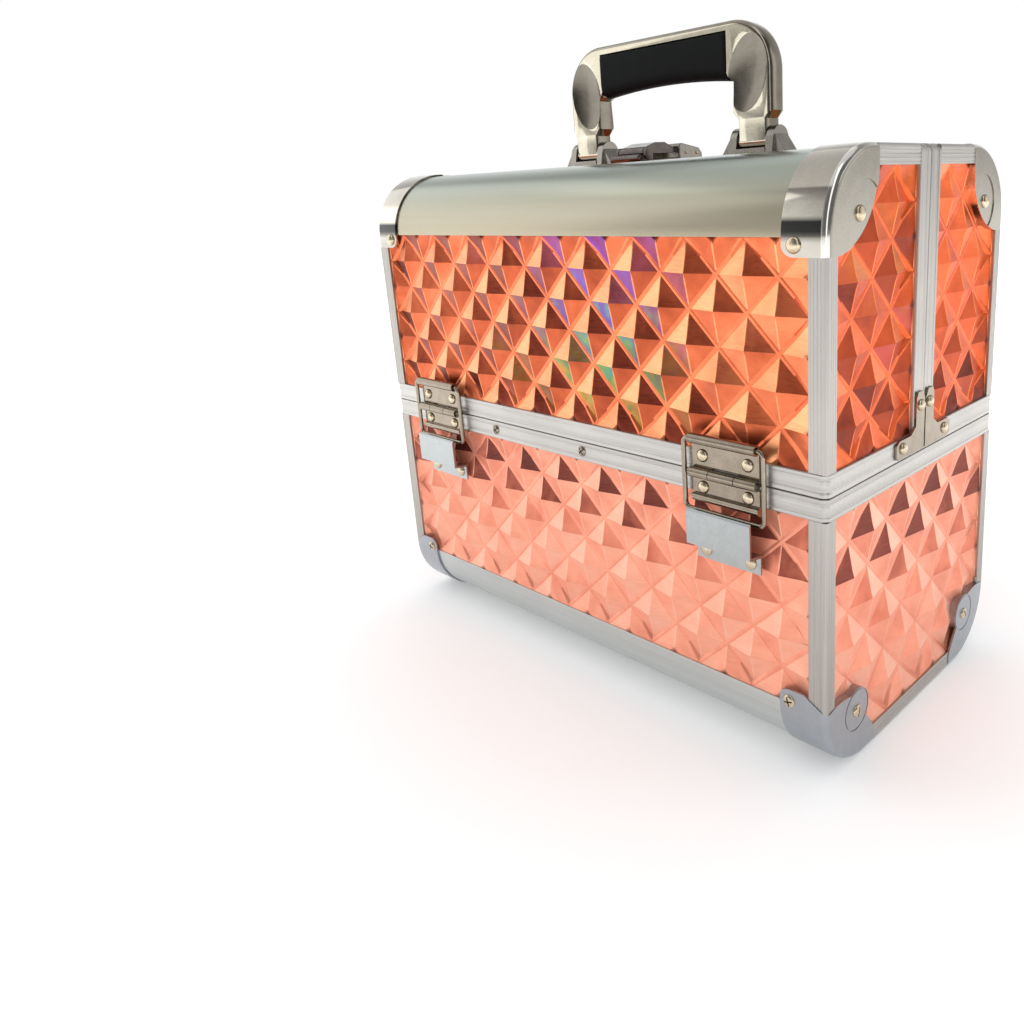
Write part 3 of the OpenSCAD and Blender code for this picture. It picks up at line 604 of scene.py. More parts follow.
class EffectShelf:
    """The shared effects, built once."""

    def __init__(self) -> None:
        """Builds every effect."""
        self.grain = self._grain()
        self.drawn = self._drawn_lines()
        self.handling = self._handling()

    @staticmethod
    def _grain() -> Effect:
        """Fine isotropic grain: a mask and a height from two sizes of noise."""
        made = Effect("fine_grain", [Socket("Scale", value=900.0), Socket("Softness", value=0.5)],
                      [Socket("Mask"), Socket("Height")])
        tree, place, scale = made.tree, own_place(made.tree), made.take("Scale")
        fine = add_node(tree, "TexNoise", Vector=place, Scale=scale, Detail=3.0)
        coarse = add_node(tree, "TexNoise", Vector=place, Detail=2.0,
                          Scale=maths(tree, "MULTIPLY", scale, 0.12))
        both = maths(tree, "ADD", maths(tree, "MULTIPLY", fine.outputs[0], 0.6),
                     maths(tree, "MULTIPLY", coarse.outputs[0], 0.4))
        spread = maths(tree, "MULTIPLY_ADD", centred(tree, both), 4.0, 0.5, clamp=True)
        soft = maths(tree, "MULTIPLY", centred(tree, spread),
                     maths(tree, "SUBTRACT", 1.0, made.take("Softness")))
        return made.give(Height=both, Mask=maths(tree, "ADD", soft, 0.5, clamp=True))

    @staticmethod
    def _drawn_lines() -> Effect:
        """Fine lines along a drawn or rolled profile: noise squeezed along one axis."""
        made = Effect("drawn_lines",
                      [Socket("Direction", "NodeSocketVector"), Socket("Scale", value=1.0)],
                      [Socket("Mask"), Socket("Height")])
        tree = made.tree
        along = add_node(tree, "VectorMath", _operation="MULTIPLY", Vector=own_place(tree))
        feed(tree, made.take("Direction"), along.inputs[1])
        size = add_node(tree, "VectorMath", _operation="SCALE", Vector=along.outputs[0],
                        Scale=made.take("Scale"))
        fine = add_node(tree, "TexNoise", Vector=size.outputs[0], Scale=1.0, Detail=4.0,
                        Roughness=0.65).outputs[0]
        mask = maths(tree, "MULTIPLY_ADD", centred(tree, fine), 3.0, 0.5, clamp=True)
        return made.give(Height=fine, Mask=mask)

    @staticmethod
    def _handling() -> Effect:
        """Cloudy marks of handling: smears and a few specks as masks."""
        made = Effect("handling_marks",
                      [Socket("Scale", value=14.0), Socket("Amount", value=0.5)],
                      [Socket("Smear"), Socket("Speck")])
        tree, place, amount = made.tree, own_place(made.tree), made.take("Amount")
        cloud = add_node(tree, "TexNoise", Vector=place, Scale=made.take("Scale"), Detail=5.0,
                         Roughness=0.6, Distortion=0.8).outputs[0]
        smear = maths(tree, "MULTIPLY_ADD", cloud, 3.2, -1.3, clamp=True)
        cell = add_node(tree, "TexVoronoi", _feature="F1", Vector=place, Scale=260.0,
                        Randomness=1.0)
        near = maths(tree, "LESS_THAN", cell.outputs["Distance"], 0.11)
        rare = maths(tree, "GREATER_THAN", cloud, 0.6)
        speck = maths(tree, "MULTIPLY", near, rare)
        return made.give(Smear=maths(tree, "MULTIPLY", smear, amount),
                         Speck=maths(tree, "MULTIPLY", speck, amount))


# Finishes


class Finish:
    """Base of all finishes: a material with a Principled shader and its output."""

    @staticmethod
    def start(name: str, **values: object) -> tuple[Material, Tree, Node]:
        """Makes a material and gives it, its tree and its shader with some inputs set."""
        material = bpy.data.materials.new(name)
        material.use_nodes = True
        tree = material.node_tree
        tree.nodes.clear()
        shader = add_node(tree, "BsdfPrincipled", **values)
        add_node(tree, "OutputMaterial", Surface=shader.outputs[0])
        return material, tree, shader

    @staticmethod
    def place_effect(tree: Tree, effect: Effect,
                     **values: object) -> bpy.types.bpy_prop_collection:
        """Places a shared effect in a material with its own values and gives its outputs."""
        group = tree.nodes.new("ShaderNodeGroup")
        group.node_tree = effect.tree
        for key, value in values.items():
            group.inputs[key].default_value = value
        return group.outputs

    @staticmethod
    def end(tree: Tree, shader: Node, colour: Plug, rough: Plug, height: Plug, strength: float,
            distance: float) -> None:
        """Feeds the results into the shader.

        Args:
            tree: tree of the material.
            shader: its Principled shader.
            colour: base colour.
            rough: roughness.
            height: height of the bump.
            strength: strength of the bump.
            distance: depth of the bump in millimetres.
        """
        bump = add_node(tree, "Bump", Strength=strength, Distance=distance * MM, Height=height)
        for key, value in (("Base Color", colour), ("Roughness", rough),
                           ("Normal", bump.outputs[0])):
            tree.links.new(value, shader.inputs[key])


@dataclass(frozen=True)
class MetalFinish(Finish):
    """Metal with drawn lines or grain, cloudy roughness, darker specks, and painted reflection that
    changes with height.
    """

    name: str
    colour: Colour
    shade: Colour
    roughness: float
    spread: float = 0.12
    lines: Colour | None = None
    bump_depth: float = 0.02
    marks: float = 0.5
    marks_scale: float = 14.0
    speck: float = 0.4
    bands: tuple[tuple[float, Colour], ...] = ()

    def paint_light_by_height(self, tree: Tree, colour: Plug) -> Plug:
        """Paints reflection into a colour by the height over the floor at rest, from heights in
        millimetres and their colours.
        """
        low, high = self.bands[0][0], self.bands[-1][0]
        height = add_node(tree, "SeparateXYZ", Vector=own_place(tree)).outputs[2]
        above = maths(tree, "SUBTRACT", height, low * MM)
        part = maths(tree, "DIVIDE", above, (high - low) * MM, clamp=True)
        stops = [((mark - low) / (high - low), shade) for mark, shade in self.bands]
        return blend(tree, 1.0, colour, ramp(tree, part, stops), "MULTIPLY")

    def make(self, shelf: EffectShelf) -> Material:
        """Builds the material from the shared effects."""
        material, tree, shader = self.start(self.name, Metallic=1.0)
        if self.lines is not None:
            texture = self.place_effect(tree, shelf.drawn, Direction=self.lines, Scale=1.0)
        else:
            texture = self.place_effect(tree, shelf.grain, Scale=1400.0, Softness=0.3)
        marks = self.place_effect(tree, shelf.handling, Scale=self.marks_scale, Amount=self.marks)
        mask, smear = texture["Mask"], marks["Smear"]
        colour = blend(tree, mask, self.shade, self.colour)
        colour = blend(tree, maths(tree, "MULTIPLY", smear, 0.55), colour, self.shade)
        colour = blend(tree, maths(tree, "MULTIPLY", marks["Speck"], self.speck), colour,
                       tuple(c * 0.45 for c in self.shade))
        # Painted reflection by height, where the finish has it.
        if self.bands:
            colour = self.paint_light_by_height(tree, colour)
        rough = maths(tree, "MULTIPLY_ADD", mask, self.spread, self.roughness - self.spread / 2)
        rough = maths(tree, "MULTIPLY_ADD", smear, self.spread, rough, clamp=True)
        self.end(tree, shader, colour, rough, texture["Height"], 0.35, self.bump_depth)
        return material


PAINTED_RAINBOW_SHEEN = ((0.0, (0.24, 0.035, 0.20)), (0.22, (0.19, 0.05, 0.42)), (0.4, (0.08, 0.12, 0.50)),
           (0.55, (0.05, 0.36, 0.36)), (0.7, (0.06, 0.50, 0.16)), (0.84, (0.62, 0.46, 0.06)),
           (1.0, (0.90, 0.34, 0.10)))


@dataclass(frozen=True)
class FoilFinish(Finish):
    """Rose gold embossed foil whose facets carry their own tone with painted light and shade, and a
    painted rainbow sheen in streaks on a few.
    """

    name: str = "rose_gold_foil"
    pale: Colour = (1.0, 0.45, 0.21)
    rose: Colour = (0.90, 0.225, 0.095)
    copper: Colour = (0.56, 0.108, 0.04)
    brown: Colour = (0.23, 0.036, 0.018)
    deep: Colour = (0.11, 0.014, 0.009)
    roughness: float = 0.26
    metallic: float = 0.9

    def make(self, shelf: EffectShelf) -> Material:
        """Builds the foil from the facet tones with their painted light and shade, a painted
        rainbow sheen, a soft wave and fine scratches.
        """
        material, tree, shader = self.start(self.name, Metallic=self.metallic)
        facet = add_node(tree, "Attribute", _attribute_name="tone", _attribute_type="GEOMETRY")
        tone, painted_sheen, shift = add_node(tree, "SeparateColor", Color=facet.outputs["Color"]).outputs
        place = own_place(tree)
        wave = add_node(tree, "TexNoise", Vector=place, Scale=46.0, Detail=3.0, Roughness=0.55,
                        Distortion=0.5).outputs[0]
        sway = maths(tree, "MULTIPLY", centred(tree, wave), 0.5)
        stops = list(zip((0.0, 0.2, 0.42, 0.66, 1.0),
                         (self.deep, self.brown, self.copper, self.rose, self.pale)))
        colour = ramp(tree, maths(tree, "ADD", tone, sway, clamp=True), stops)
        # Painted rainbow sheen on the facets whose tone asks for it, drifting with noise.
        bands = add_node(tree, "TexNoise", Vector=place, Scale=105.0, Detail=1.0).outputs[0]
        drift = maths(tree, "MULTIPLY", centred(tree, bands), 0.7)
        rainbow = ramp(tree, maths(tree, "ADD", shift, drift, clamp=True), PAINTED_RAINBOW_SHEEN)
        patch = maths(tree, "MULTIPLY_ADD", wave, 1.6, -0.1, clamp=True)
        colour = blend(tree, maths(tree, "MULTIPLY", painted_sheen, patch, clamp=True), colour, rainbow)
        scratch = self.place_effect(tree, shelf.drawn, Direction=(90.0, 90.0, 900.0),
                                    Scale=1.6)["Mask"]
        colour = blend(tree, maths(tree, "MULTIPLY", scratch, 0.16), colour,
                       tuple(c * 0.55 for c in self.rose))
        rough = maths(tree, "MULTIPLY_ADD", scratch, 0.12, self.roughness - 0.06)
        rough = maths(tree, "MULTIPLY_ADD", wave, 0.14, rough, clamp=True)
        ripple = add_node(tree, "TexNoise", Vector=place, Scale=210.0, Detail=2.0).outputs[0]
        height = maths(tree, "MULTIPLY_ADD", wave, 3.0, ripple)
        self.end(tree, shader, colour, rough, height, 0.5, 0.16)
        return material


@dataclass(frozen=True)
class PlasticFinish(Finish):
    """Moulded or covered surface with grain and dusty smears."""

    name: str
    colour: Colour
    dust: Colour
    roughness: float
    grain: float = 700.0
    depth: float = 0.05
    sheen: float = 0.0
    specular: float = 0.5

    def make(self, shelf: EffectShelf) -> Material:
        """Builds the material from grain and handling marks."""
        material, tree, shader = self.start(self.name, Specular_IOR_Level=self.specular,
                                            Sheen_Weight=self.sheen, Sheen_Roughness=0.5)
        grain = self.place_effect(tree, shelf.grain, Scale=self.grain, Softness=0.2)
        smear = self.place_effect(tree, shelf.handling, Scale=9.0, Amount=0.6)["Smear"]
        tint = blend(tree, maths(tree, "MULTIPLY", grain["Mask"], 0.35), self.colour, self.dust)
        tint = blend(tree, maths(tree, "MULTIPLY", smear, 0.3), tint, self.dust)
        rough = maths(tree, "MULTIPLY_ADD", grain["Mask"], 0.12, self.roughness - 0.06)
        rough = maths(tree, "MULTIPLY_ADD", smear, 0.1, rough, clamp=True)
        self.end(tree, shader, tint, rough, grain["Height"], 0.5, self.depth)
        return material


class Finishes:
    """Every finish of the case, made once."""

    def __init__(self, shelf: EffectShelf) -> None:
        """Makes the materials from the shared effects."""
        along_x, along_y, along_z = (12.0, 900.0, 900.0), (900.0, 12.0, 900.0), (900.0, 900.0, 12.0)
        pale, grey = (0.555, 0.54, 0.51), (0.42, 0.405, 0.38)
        warm, warm_grey = (0.51, 0.485, 0.455), (0.39, 0.37, 0.345)
        # Painted reflection on the upper quarter rounds: warm and pale low down, cooler and darker
        # towards the top.
        round_painted_reflection = ((258.0, (0.97, 0.80, 0.66)), (264.0, (0.96, 0.81, 0.69)),
                  (275.0, (0.85, 0.78, 0.69)), (287.0, (0.745, 0.775, 0.765)),
                  (292.0, (0.72, 0.78, 0.80)))
        # Painted reflection on the polished caps: a darker tab, a dark horizon stripe, a bright
        # stripe above it, then greyer towards the top.
        cap_painted_horizon = ((254.0, (0.52, 0.52, 0.51)), (256.6, (0.22, 0.22, 0.22)),
                   (258.4, (0.07, 0.075, 0.08)), (262.4, (0.06, 0.065, 0.07)),
                   (264.6, (0.90, 0.90, 0.87)), (270.0, (1.0, 1.0, 0.97)),
                   (275.0, (0.55, 0.54, 0.52)), (283.0, (0.46, 0.455, 0.44)),
                   (292.0, (0.41, 0.41, 0.40)))

        def metal(*values: object, **options: object) -> Material:
            """Makes a metal from its name, colour, shade, roughness and options."""
            return MetalFinish(*values, **options).make(shelf)

        self.profile_x = metal("drawn_aluminium_along_x", pale, grey, 0.38, lines=along_x)
        self.profile_y = metal("drawn_aluminium_along_y", pale, grey, 0.38, lines=along_y)
        self.profile_z = metal("drawn_aluminium_along_z", warm, warm_grey, 0.38, lines=along_z)
        self.round_top = metal("anodised_quarter_round", (0.44, 0.475, 0.425),
                               (0.415, 0.445, 0.395), 0.24, spread=0.03, bump_depth=0.001,
                               lines=(4.0, 160.0, 160.0), marks=0.2, speck=0.1, bands=round_painted_reflection)
        self.round_low = metal("anodised_lower_quarter_round", (0.59, 0.615, 0.60),
                               (0.50, 0.52, 0.51), 0.34, lines=(6.0, 260.0, 260.0),
                               bump_depth=0.01, speck=0.25)
        self.cap_bright = metal("polished_nickel", (0.98, 0.93, 0.83), (0.83, 0.78, 0.695), 0.10,
                                spread=0.04, bump_depth=0.003, marks=0.3, speck=0.1,
                                bands=cap_painted_horizon)
        self.cap_edge = metal("polished_shoulder", (0.78, 0.76, 0.71), (0.64, 0.62, 0.58), 0.12,
                              spread=0.04, bump_depth=0.002, marks=0.3, speck=0.05)
        self.cap_satin = metal("satin_plated_cap", (0.43, 0.455, 0.485), (0.34, 0.36, 0.385), 0.32,
                               spread=0.1, bump_depth=0.008, marks=0.7)
        self.cap_satin_warm = metal("satin_plated_ear", (0.385, 0.36, 0.31), (0.34, 0.315, 0.27),
                                    0.26, spread=0.05, bump_depth=0.002, marks=0.35, speck=0.03)
        self.plate = metal("bright_plated_sheet", (0.345, 0.295, 0.235), (0.23, 0.19, 0.145), 0.12,
                           spread=0.1, bump_depth=0.008, marks=0.7, marks_scale=40.0)
        self.keeper = metal("grey_blue_plate", (0.45, 0.475, 0.475), (0.37, 0.39, 0.39), 0.30,
                            bump_depth=0.006, marks_scale=30.0, speck=0.1)
        self.rivet = metal("warm_rivet", (0.70, 0.62, 0.47), (0.48, 0.39, 0.26), 0.2,
                           bump_depth=0.01, marks=0.8, marks_scale=160.0)
        self.handle = metal("champagne_chrome", (0.67, 0.62, 0.50), (0.50, 0.455, 0.355), 0.10,
                            spread=0.06, bump_depth=0.006, marks=0.6, marks_scale=26.0)
        # Darker copies of the handle's chrome: painted shade on its rounded edges and in its
        # hollows.
        self.outer = metal("painted_shade_curve_chrome", (0.30, 0.27, 0.22), (0.21, 0.19, 0.15), 0.13,
                           spread=0.07, bump_depth=0.006, marks=0.6, marks_scale=26.0)
        self.scoop = metal("painted_shade_hollow_chrome", (0.22, 0.20, 0.165), (0.15, 0.135, 0.11), 0.22,
                           spread=0.1, bump_depth=0.01, marks=0.6, marks_scale=40.0)
        self.cast = metal("satin_casting", (0.36, 0.34, 0.30), (0.24, 0.225, 0.195), 0.22,
                          spread=0.1, bump_depth=0.008, marks=0.7, marks_scale=40.0, speck=0.1)
        self.dark_steel = metal("dark_latch_steel", (0.17, 0.145, 0.135), (0.08, 0.07, 0.066),
                                0.14, marks=0.8, marks_scale=60.0)
        self.strap = metal("rolled_strap", (0.50, 0.495, 0.48), (0.38, 0.37, 0.355), 0.30,
                           bump_depth=0.01, marks=0.8, marks_scale=30.0)
        self.foil = FoilFinish().make(shelf)
        # A deeper copy of the same foil for the lids' ends, as painted shade.
        self.foil_end_painted_shade = FoilFinish("copper_rose_foil", (1.0, 0.38, 0.14), (0.89, 0.16, 0.045),
                                   (0.56, 0.08, 0.02), metallic=0.86, roughness=0.3).make(shelf)
        # A paler copy of the same foil for the base, as painted reflection of the floor.
        self.foil_low_painted_reflection = FoilFinish("painted_reflection_low_foil", (1.0, 0.58, 0.42), (1.0, 0.385, 0.25),
                                   (0.74, 0.20, 0.115), metallic=0.55, roughness=0.34).make(shelf)
        self.lining = PlasticFinish("black_lining", (0.012, 0.012, 0.014), (0.05, 0.05, 0.055),
                                    0.85, grain=1500.0, depth=0.08, sheen=0.25).make(shelf)
        self.tray = PlasticFinish("black_tray", (0.018, 0.018, 0.02), (0.07, 0.07, 0.07), 0.42,
                                  grain=900.0).make(shelf)
        self.grip = PlasticFinish("black_grip", (0.0022, 0.003, 0.0032), (0.008, 0.008, 0.008),
                                  0.66, grain=1300.0, depth=0.06, specular=0.12).make(shelf)
        # Near black for the recesses of screw heads: painted shade.
        self.gap = PlasticFinish("painted_shade_recess", (0.006, 0.004, 0.004), (0.03, 0.02, 0.015),
                                 0.7).make(shelf)


# Small shared hardware


class Head(Enum):
    """Kinds of fastener heads."""

    DOME = "dome"
    SLOT = "slot"
    CROSS = "cross"


def fastener(kind: Head, radius: float, height: float, turn: float = 20.0) -> Draft:
    """Makes a fastener's head that stands on Z = 0.

    Args:
        kind: what is cut or pressed into the head.
        radius: radius in millimetres.
        height: height of the dome.
        turn: angle of the slot or cross in degrees.

    Returns:
        The head, with the recess in material index 1, which the screws give near black painted
        shade.
    """
    profile = [(0.0, -0.3), (radius, -0.3), (radius, height * 0.12)]
    profile += [(radius * math.cos(a), height * (0.12 + 0.88 * math.sin(a)))
                for a in (0.3, 0.6, 0.9, 1.2)] + [(0.0, height)]
    head = lathe(profile, 28)
    if kind is not Head.DOME:
        half, wide = radius * 0.72, radius * 0.11
        bar = block((-half, -wide, height * 0.4), (half, wide, height + 1), 1)
        turns = (turn,) if kind is Head.SLOT else (turn, turn + 90.0)
        head = carve(head, [bar.moved(Matrix.Rotation(math.radians(a), 4, "Z")) for a in turns])
    return head


def set_small(draft: Draft, name: str, materials: Sequence[Material], body: str,
              slot: str = "rivet") -> None:
    """Builds a piece of small round parts, such as rivets and screws."""
    draft.build(name, materials, body, slot, smooth=40.0)


def facing(spot: Sequence[float], normal: Sequence[float]) -> Matrix:
    """Gives the matrix that stands a piece drawn on Z = 0 at a spot, facing along a normal."""
    return Matrix.Translation(spot) @ Vector(normal).to_track_quat("Z", "Y").to_matrix().to_4x4()


# Embossed foil


@dataclass
class FoilSheets:
    """The embossed sheets on the faces, ends and top, with raised ribs in their valleys, and light
    and shade painted into each facet's tone.
    """

    finishes: Finishes
    rib_half: float = 1.2
    rib_rise: float = 0.2
    rows: int = 4
    # Width of the painted highlight along upright ridges, and the tone of the ribs' painted
    # highlight.
    line: float = 0.6
    rib_painted_highlight: float = 0.6
    dip: float = 0.2
    border: float = 2.5
    border_zone: float = 13.0
    border_fall: float = 2.5
    nip: float = 10.0

    def height_at(self, gap: float, reach: float, across: float) -> float:
        """Gives the height over the backing, from the distance to the valley.

        Args:
            gap: distance from the valley line.
            reach: distance from the valley line to the tip.
            across: place between the two valley crossings, from 0 to 1.

        Returns:
            Height in millimetres.
        """
        if gap <= self.rib_half:
            return SIZES.sheet + self.rib_rise * 0.5 * (1 + math.cos(math.pi * gap / self.rib_half))
        part = (gap - self.rib_half) / (reach - self.rib_half)
        hollow = self.dip * math.sin(math.pi * part) * math.sin(math.pi * across)
        return SIZES.sheet + SIZES.pyramid * part - hollow

    def sheet(self, width: float, height: float, nips: Sequence[float],
              tone: Callable[[float, float, int, int, float], Colour]) -> Draft:
        """Builds one sheet that lies in X and Y with its back on Z = 0.

        Args:
            width: size along X.
            height: size along Y.
            nips: how far the corners are drawn in: near left, near right, far right, far left.
            tone: gives a facet's tone, with its painted light and shade, from its place from 0
            to 1, its side of the tip and a chance value.

        Returns:
            The sheet, closed at its back and edges.
        """
        nx = max(2, math.floor(2 * width / SIZES.pitch))
        ny = max(1, round(2 * height / SIZES.pitch))

        def spot(i: int, j: int) -> Vector:
            """Gives a lattice point."""
            corner = {(0, 0): nips[0], (nx, 0): -nips[1], (nx, ny): -nips[2],
                      (0, ny): nips[3]}.get((i, j), 0.0)
            return Vector((i * width / nx + corner, j * height / ny, 0.0))

        out = Draft()
        levels = [self.rib_half * part for part in (0.0, 0.25, 0.5, 0.75, 1.0)]
        levels.append(self.rib_half + 0.15)
        for j in range(ny):
            for i in range(nx):
                rising, falling = [(i, j), (i + 1, j + 1)], [(i + 1, j), (i, j + 1)]
                tips, ends = (rising, falling) if (i + j) % 2 == 0 else (falling, rising)
                for tip in tips:
                    a, b, top = spot(*ends[0]), spot(*ends[1]), spot(*tip)
                    reach = abs((b - a).cross(top - a).z) / (b - a).length
                    gaps = levels + [self.rib_half + (reach - self.rib_half) * r / self.rows
                                     for r in range(1, self.rows + 1)]
                    # The side of the tip picks the facet's painted light and shade.
                    middle = (a + b) / 2 - top
                    sx, sy = (1 if middle.x > 0 else -1), (1 if middle.y > 0 else -1)
                    depth = height * 0.31 + (1.7 if sx > 0 else 0.2) + (5.1 if sy > 0 else 0.9)
                    chance = noise.cell(Vector((tip[0] * 1.7 + 31.0,
                                                tip[1] * 2.3 + width * 0.13, depth)))
                    value = tone((top.x + middle.x / 2) / width, (top.y + middle.y / 2) / height,
                                 sx, sy, (chance + 1) / 2)
                    self.facet(out, a, b, top, reach, gaps, value)
        corners = [spot(i, j) for i, j in (
            (0, 0), (1, 0), (nx - 1, 0), (nx, 0), (nx, 1), (nx, ny - 1),
            (nx, ny), (nx - 1, ny), (1, ny), (0, ny), (0, ny - 1), (0, 1))]
        lines = [(a, (b - a).normalized())
                 for a, b in zip(corners, corners[1:] + corners[:1]) if a != b]
        rim = SIZES.sheet + self.border
        for p in out.points:
            if min(p.x, width - p.x, p.y, height - p.y) < self.border_zone:
                gap = min(abs((p - a).cross(along).z) for a, along in lines)
                p.z += (rim - p.z) * max(0.0, 1 - gap / self.border_fall)
        border = [(i, 0) for i in range(nx + 1)] + [(nx, j) for j in range(1, ny + 1)]
        border += [(i, ny) for i in range(nx - 1, -1, -1)] + [(0, j) for j in range(ny - 1, 0, -1)]
        ring = [spot(*b) for b in border]
        count = len(ring)
        faces: list[Face] = [(k, count + k, count + (k + 1) % count, (k + 1) % count)
                             for k in range(count)]
        faces.append(tuple(count + k for k in reversed(range(count))))
        return out.add([(p.x, p.y, z) for z in (rim, 0.0) for p in ring], faces, 0, (0.3, 0.0, 0.0))

    def facet(self, out: Draft, a: Vector, b: Vector, top: Vector, reach: float,
              gaps: Sequence[float], value: Colour) -> None:
        """Adds one facet with its half of the rib.

        Args:
            out: draft that takes the facet.
            a: one crossing.
            b: the other crossing.
            top: the tip.
            reach: distance from the valley to the tip.
            gaps: distances from the valley at which rows lie.
            value: tone of the facet, with its painted light and shade.
        """
        points: list[Point3] = []
        for gap in gaps:
            t = gap / reach
            left, right = a.lerp(top, t), b.lerp(top, t)
            edge = min(0.3, self.line / max(0.01, (right - left).length))
            for part in (0.0, edge, 0.5, 1 - edge, 1.0):
                p = left.lerp(right, part)
                points.append((p.x, p.y, self.height_at(gap, reach, part)))
        upright = (abs(a.x - top.x) < 4, False, False, abs(b.x - top.x) < 4)
        turn = (b - a).cross(top - a).z < 0
        start = len(out.points)
        out.points.extend(Vector(p) for p in points)
        for r in range(len(gaps) - 1):
            for c in range(4):
                tone = value
                # Ribs get a painted highlight tone, and the columns along an upright ridge a
                # painted highlight line.
                if gaps[r] < self.rib_half:
                    tone = (self.rib_painted_highlight, value[1] * 0.15, value[2])
                elif upright[c]:
                    tone = (min(1.0, value[0] * 0.3 + 0.7), value[1] * 0.3, value[2])
                face = [r * 5 + c, r * 5 + c + 1, (r + 1) * 5 + c + 1, (r + 1) * 5 + c]
                if r == len(gaps) - 2:
                    face = face[:3]
                if turn:
                    face.reverse()
                out.faces.append(tuple(start + i for i in face))
                out.slots.append(0)
                out.tones.append(tone)

    def place(self, name: str, body: str, node: str, draft: Draft, mirror: Mirror) -> None:
        """Makes the object of a sheet and its mirror image.

        Args:
            name: name of the piece.
            body: body it rides on.
            node: node that it replaces.
            draft: the sheet in its place.
            mirror: its mirror images.
        """
        # The lids' ends and the base take the painted shade and painted reflection copies of the
        # foil.
        ends = self.finishes.foil_end_painted_shade if "_end_" in name else self.finishes.foil
        foil = self.finishes.foil_low_painted_reflection if body == "base" else ends
        draft.spread(mirror).build(name, [foil], body, "embossed_foil", [node], smooth=19.0,
                                   recalc=False)

    @staticmethod
    def upper_painted_light_and_tone(u: float, v: float, sx: int, sy: int, chance: float) -> Colour:
        """Painted light and shade of the facets on the lids' faces, by which way each faces: pale
        upper left, dark with a painted rainbow sheen below, with random tone.
        """
        right, left = clamp((u - 0.72) / 0.16), clamp((0.42 - u) / 0.3)
        value = {(-1, 1): 0.92, (1, 1): 0.17 + 0.14 * v + 0.20 * max(right, left),
                 (-1, -1): 0.17 + 0.45 * right, (1, -1): 0.40 + 0.15 * right + 0.06 * left}[sx, sy]
        painted_sheen = 0.0
        if (sx, sy) == (-1, -1):
            painted_sheen = max(0.0, 1 - abs(u - 0.60) / 0.22) * 1.25
        elif (sx, sy) == (1, 1) and chance > 0.6:
            painted_sheen = max(0.0, 0.4 - abs(u - 0.55))
        return (clamp(value + (chance - 0.5) * 0.2), min(1.0, painted_sheen), 0.12 + 0.85 * (1 - v))

    @staticmethod
    def crown_painted_light_and_tone(u: float, _v: float, sx: int, sy: int, chance: float) -> Colour:
        """Painted light and shade of the facets on the tops of the lids, by which way each faces,
        with random tone and a painted rainbow sheen on a few.
        """
        value = {(-1, 1): 0.72, (1, 1): 0.4, (-1, -1): 0.34, (1, -1): 0.56}[sx, sy]
        return (value + (chance - 0.5) * 0.26, 0.5 if chance > 0.86 else 0.0, u)

    @staticmethod
    def lower_painted_light_and_tone(u: float, v: float, sx: int, sy: int, chance: float) -> Colour:
        """Painted light and shade of the facets on the base's faces, by which way each faces, paler
        towards the ground as a painted reflection of the floor, with random tone.
        """
        fade = clamp((v - 0.40) / 0.42)
        left, right = clamp((0.48 - u) / 0.25), clamp((u - 0.66) / 0.16)
        dark = {(-1, 1): 0.72 - 0.46 * left - 0.34 * right, (1, 1): 0.10,
                (-1, -1): 0.62 - 0.1 * left, (1, -1): 0.64 - 0.12 * max(left, right)}[sx, sy]
        pale = {(-1, 1): 0.76, (1, 1): 0.66, (-1, -1): 0.72, (1, -1): 0.74}[sx, sy]
        return (dark * fade + pale * (1 - fade) + (chance - 0.5) * 0.1, 0.0, 0.0)

    @staticmethod
    def end_painted_light_and_tone(_u: float, v: float, sx: int, sy: int, chance: float) -> Colour:
        """Painted light and shade of the facets on the front lid's ends: deep orange with painted
        shade on the left facets, random tone and a painted rainbow sheen on a few.
        """
        value = {(-1, 1): 0.36 + 0.1 * v, (1, 1): 0.70, (-1, -1): 0.26, (1, -1): 0.52}[sx, sy]
        return (min(1.0, value + (chance - 0.5) * 0.26), 0.12 if chance > 0.85 else 0.0, v)

    @staticmethod
    def far_end_painted_light_and_tone(_u: float, v: float, sx: int, sy: int, chance: float) -> Colour:
        """Painted light and shade of the facets on the back lid's ends, by which way each faces,
        with painted light towards the top and random tone.
        """
        fade = clamp((0.55 - v) / 0.4)
        dark = {(-1, 1): 0.55, (1, 1): 0.14, (-1, -1): 0.62, (1, -1): 0.4}[sx, sy]
        pale = {(-1, 1): 0.72, (1, 1): 0.62, (-1, -1): 0.66, (1, -1): 0.56}[sx, sy]
        return (dark * fade + pale * (1 - fade) + (chance - 0.5) * 0.16, 0.0, 0.0)

    @staticmethod
    def low_end_painted_light_and_tone(_u: float, v: float, sx: int, sy: int, chance: float) -> Colour:
        """Painted light and shade of the facets on the base's ends, by which way each faces, paler
        towards the ground as a painted reflection of the floor, with random tone.
        """
        fade = clamp((v - 0.36) / 0.45)
        dark = {(-1, 1): 0.12, (1, 1): 0.84, (-1, -1): 0.56, (1, -1): 0.64}[sx, sy]
        pale = {(-1, 1): 0.64, (1, 1): 0.82, (-1, -1): 0.72, (1, -1): 0.78}[sx, sy]
        return (dark * fade + pale * (1 - fade) + (chance - 0.5) * 0.12, 0.0, 0.0)

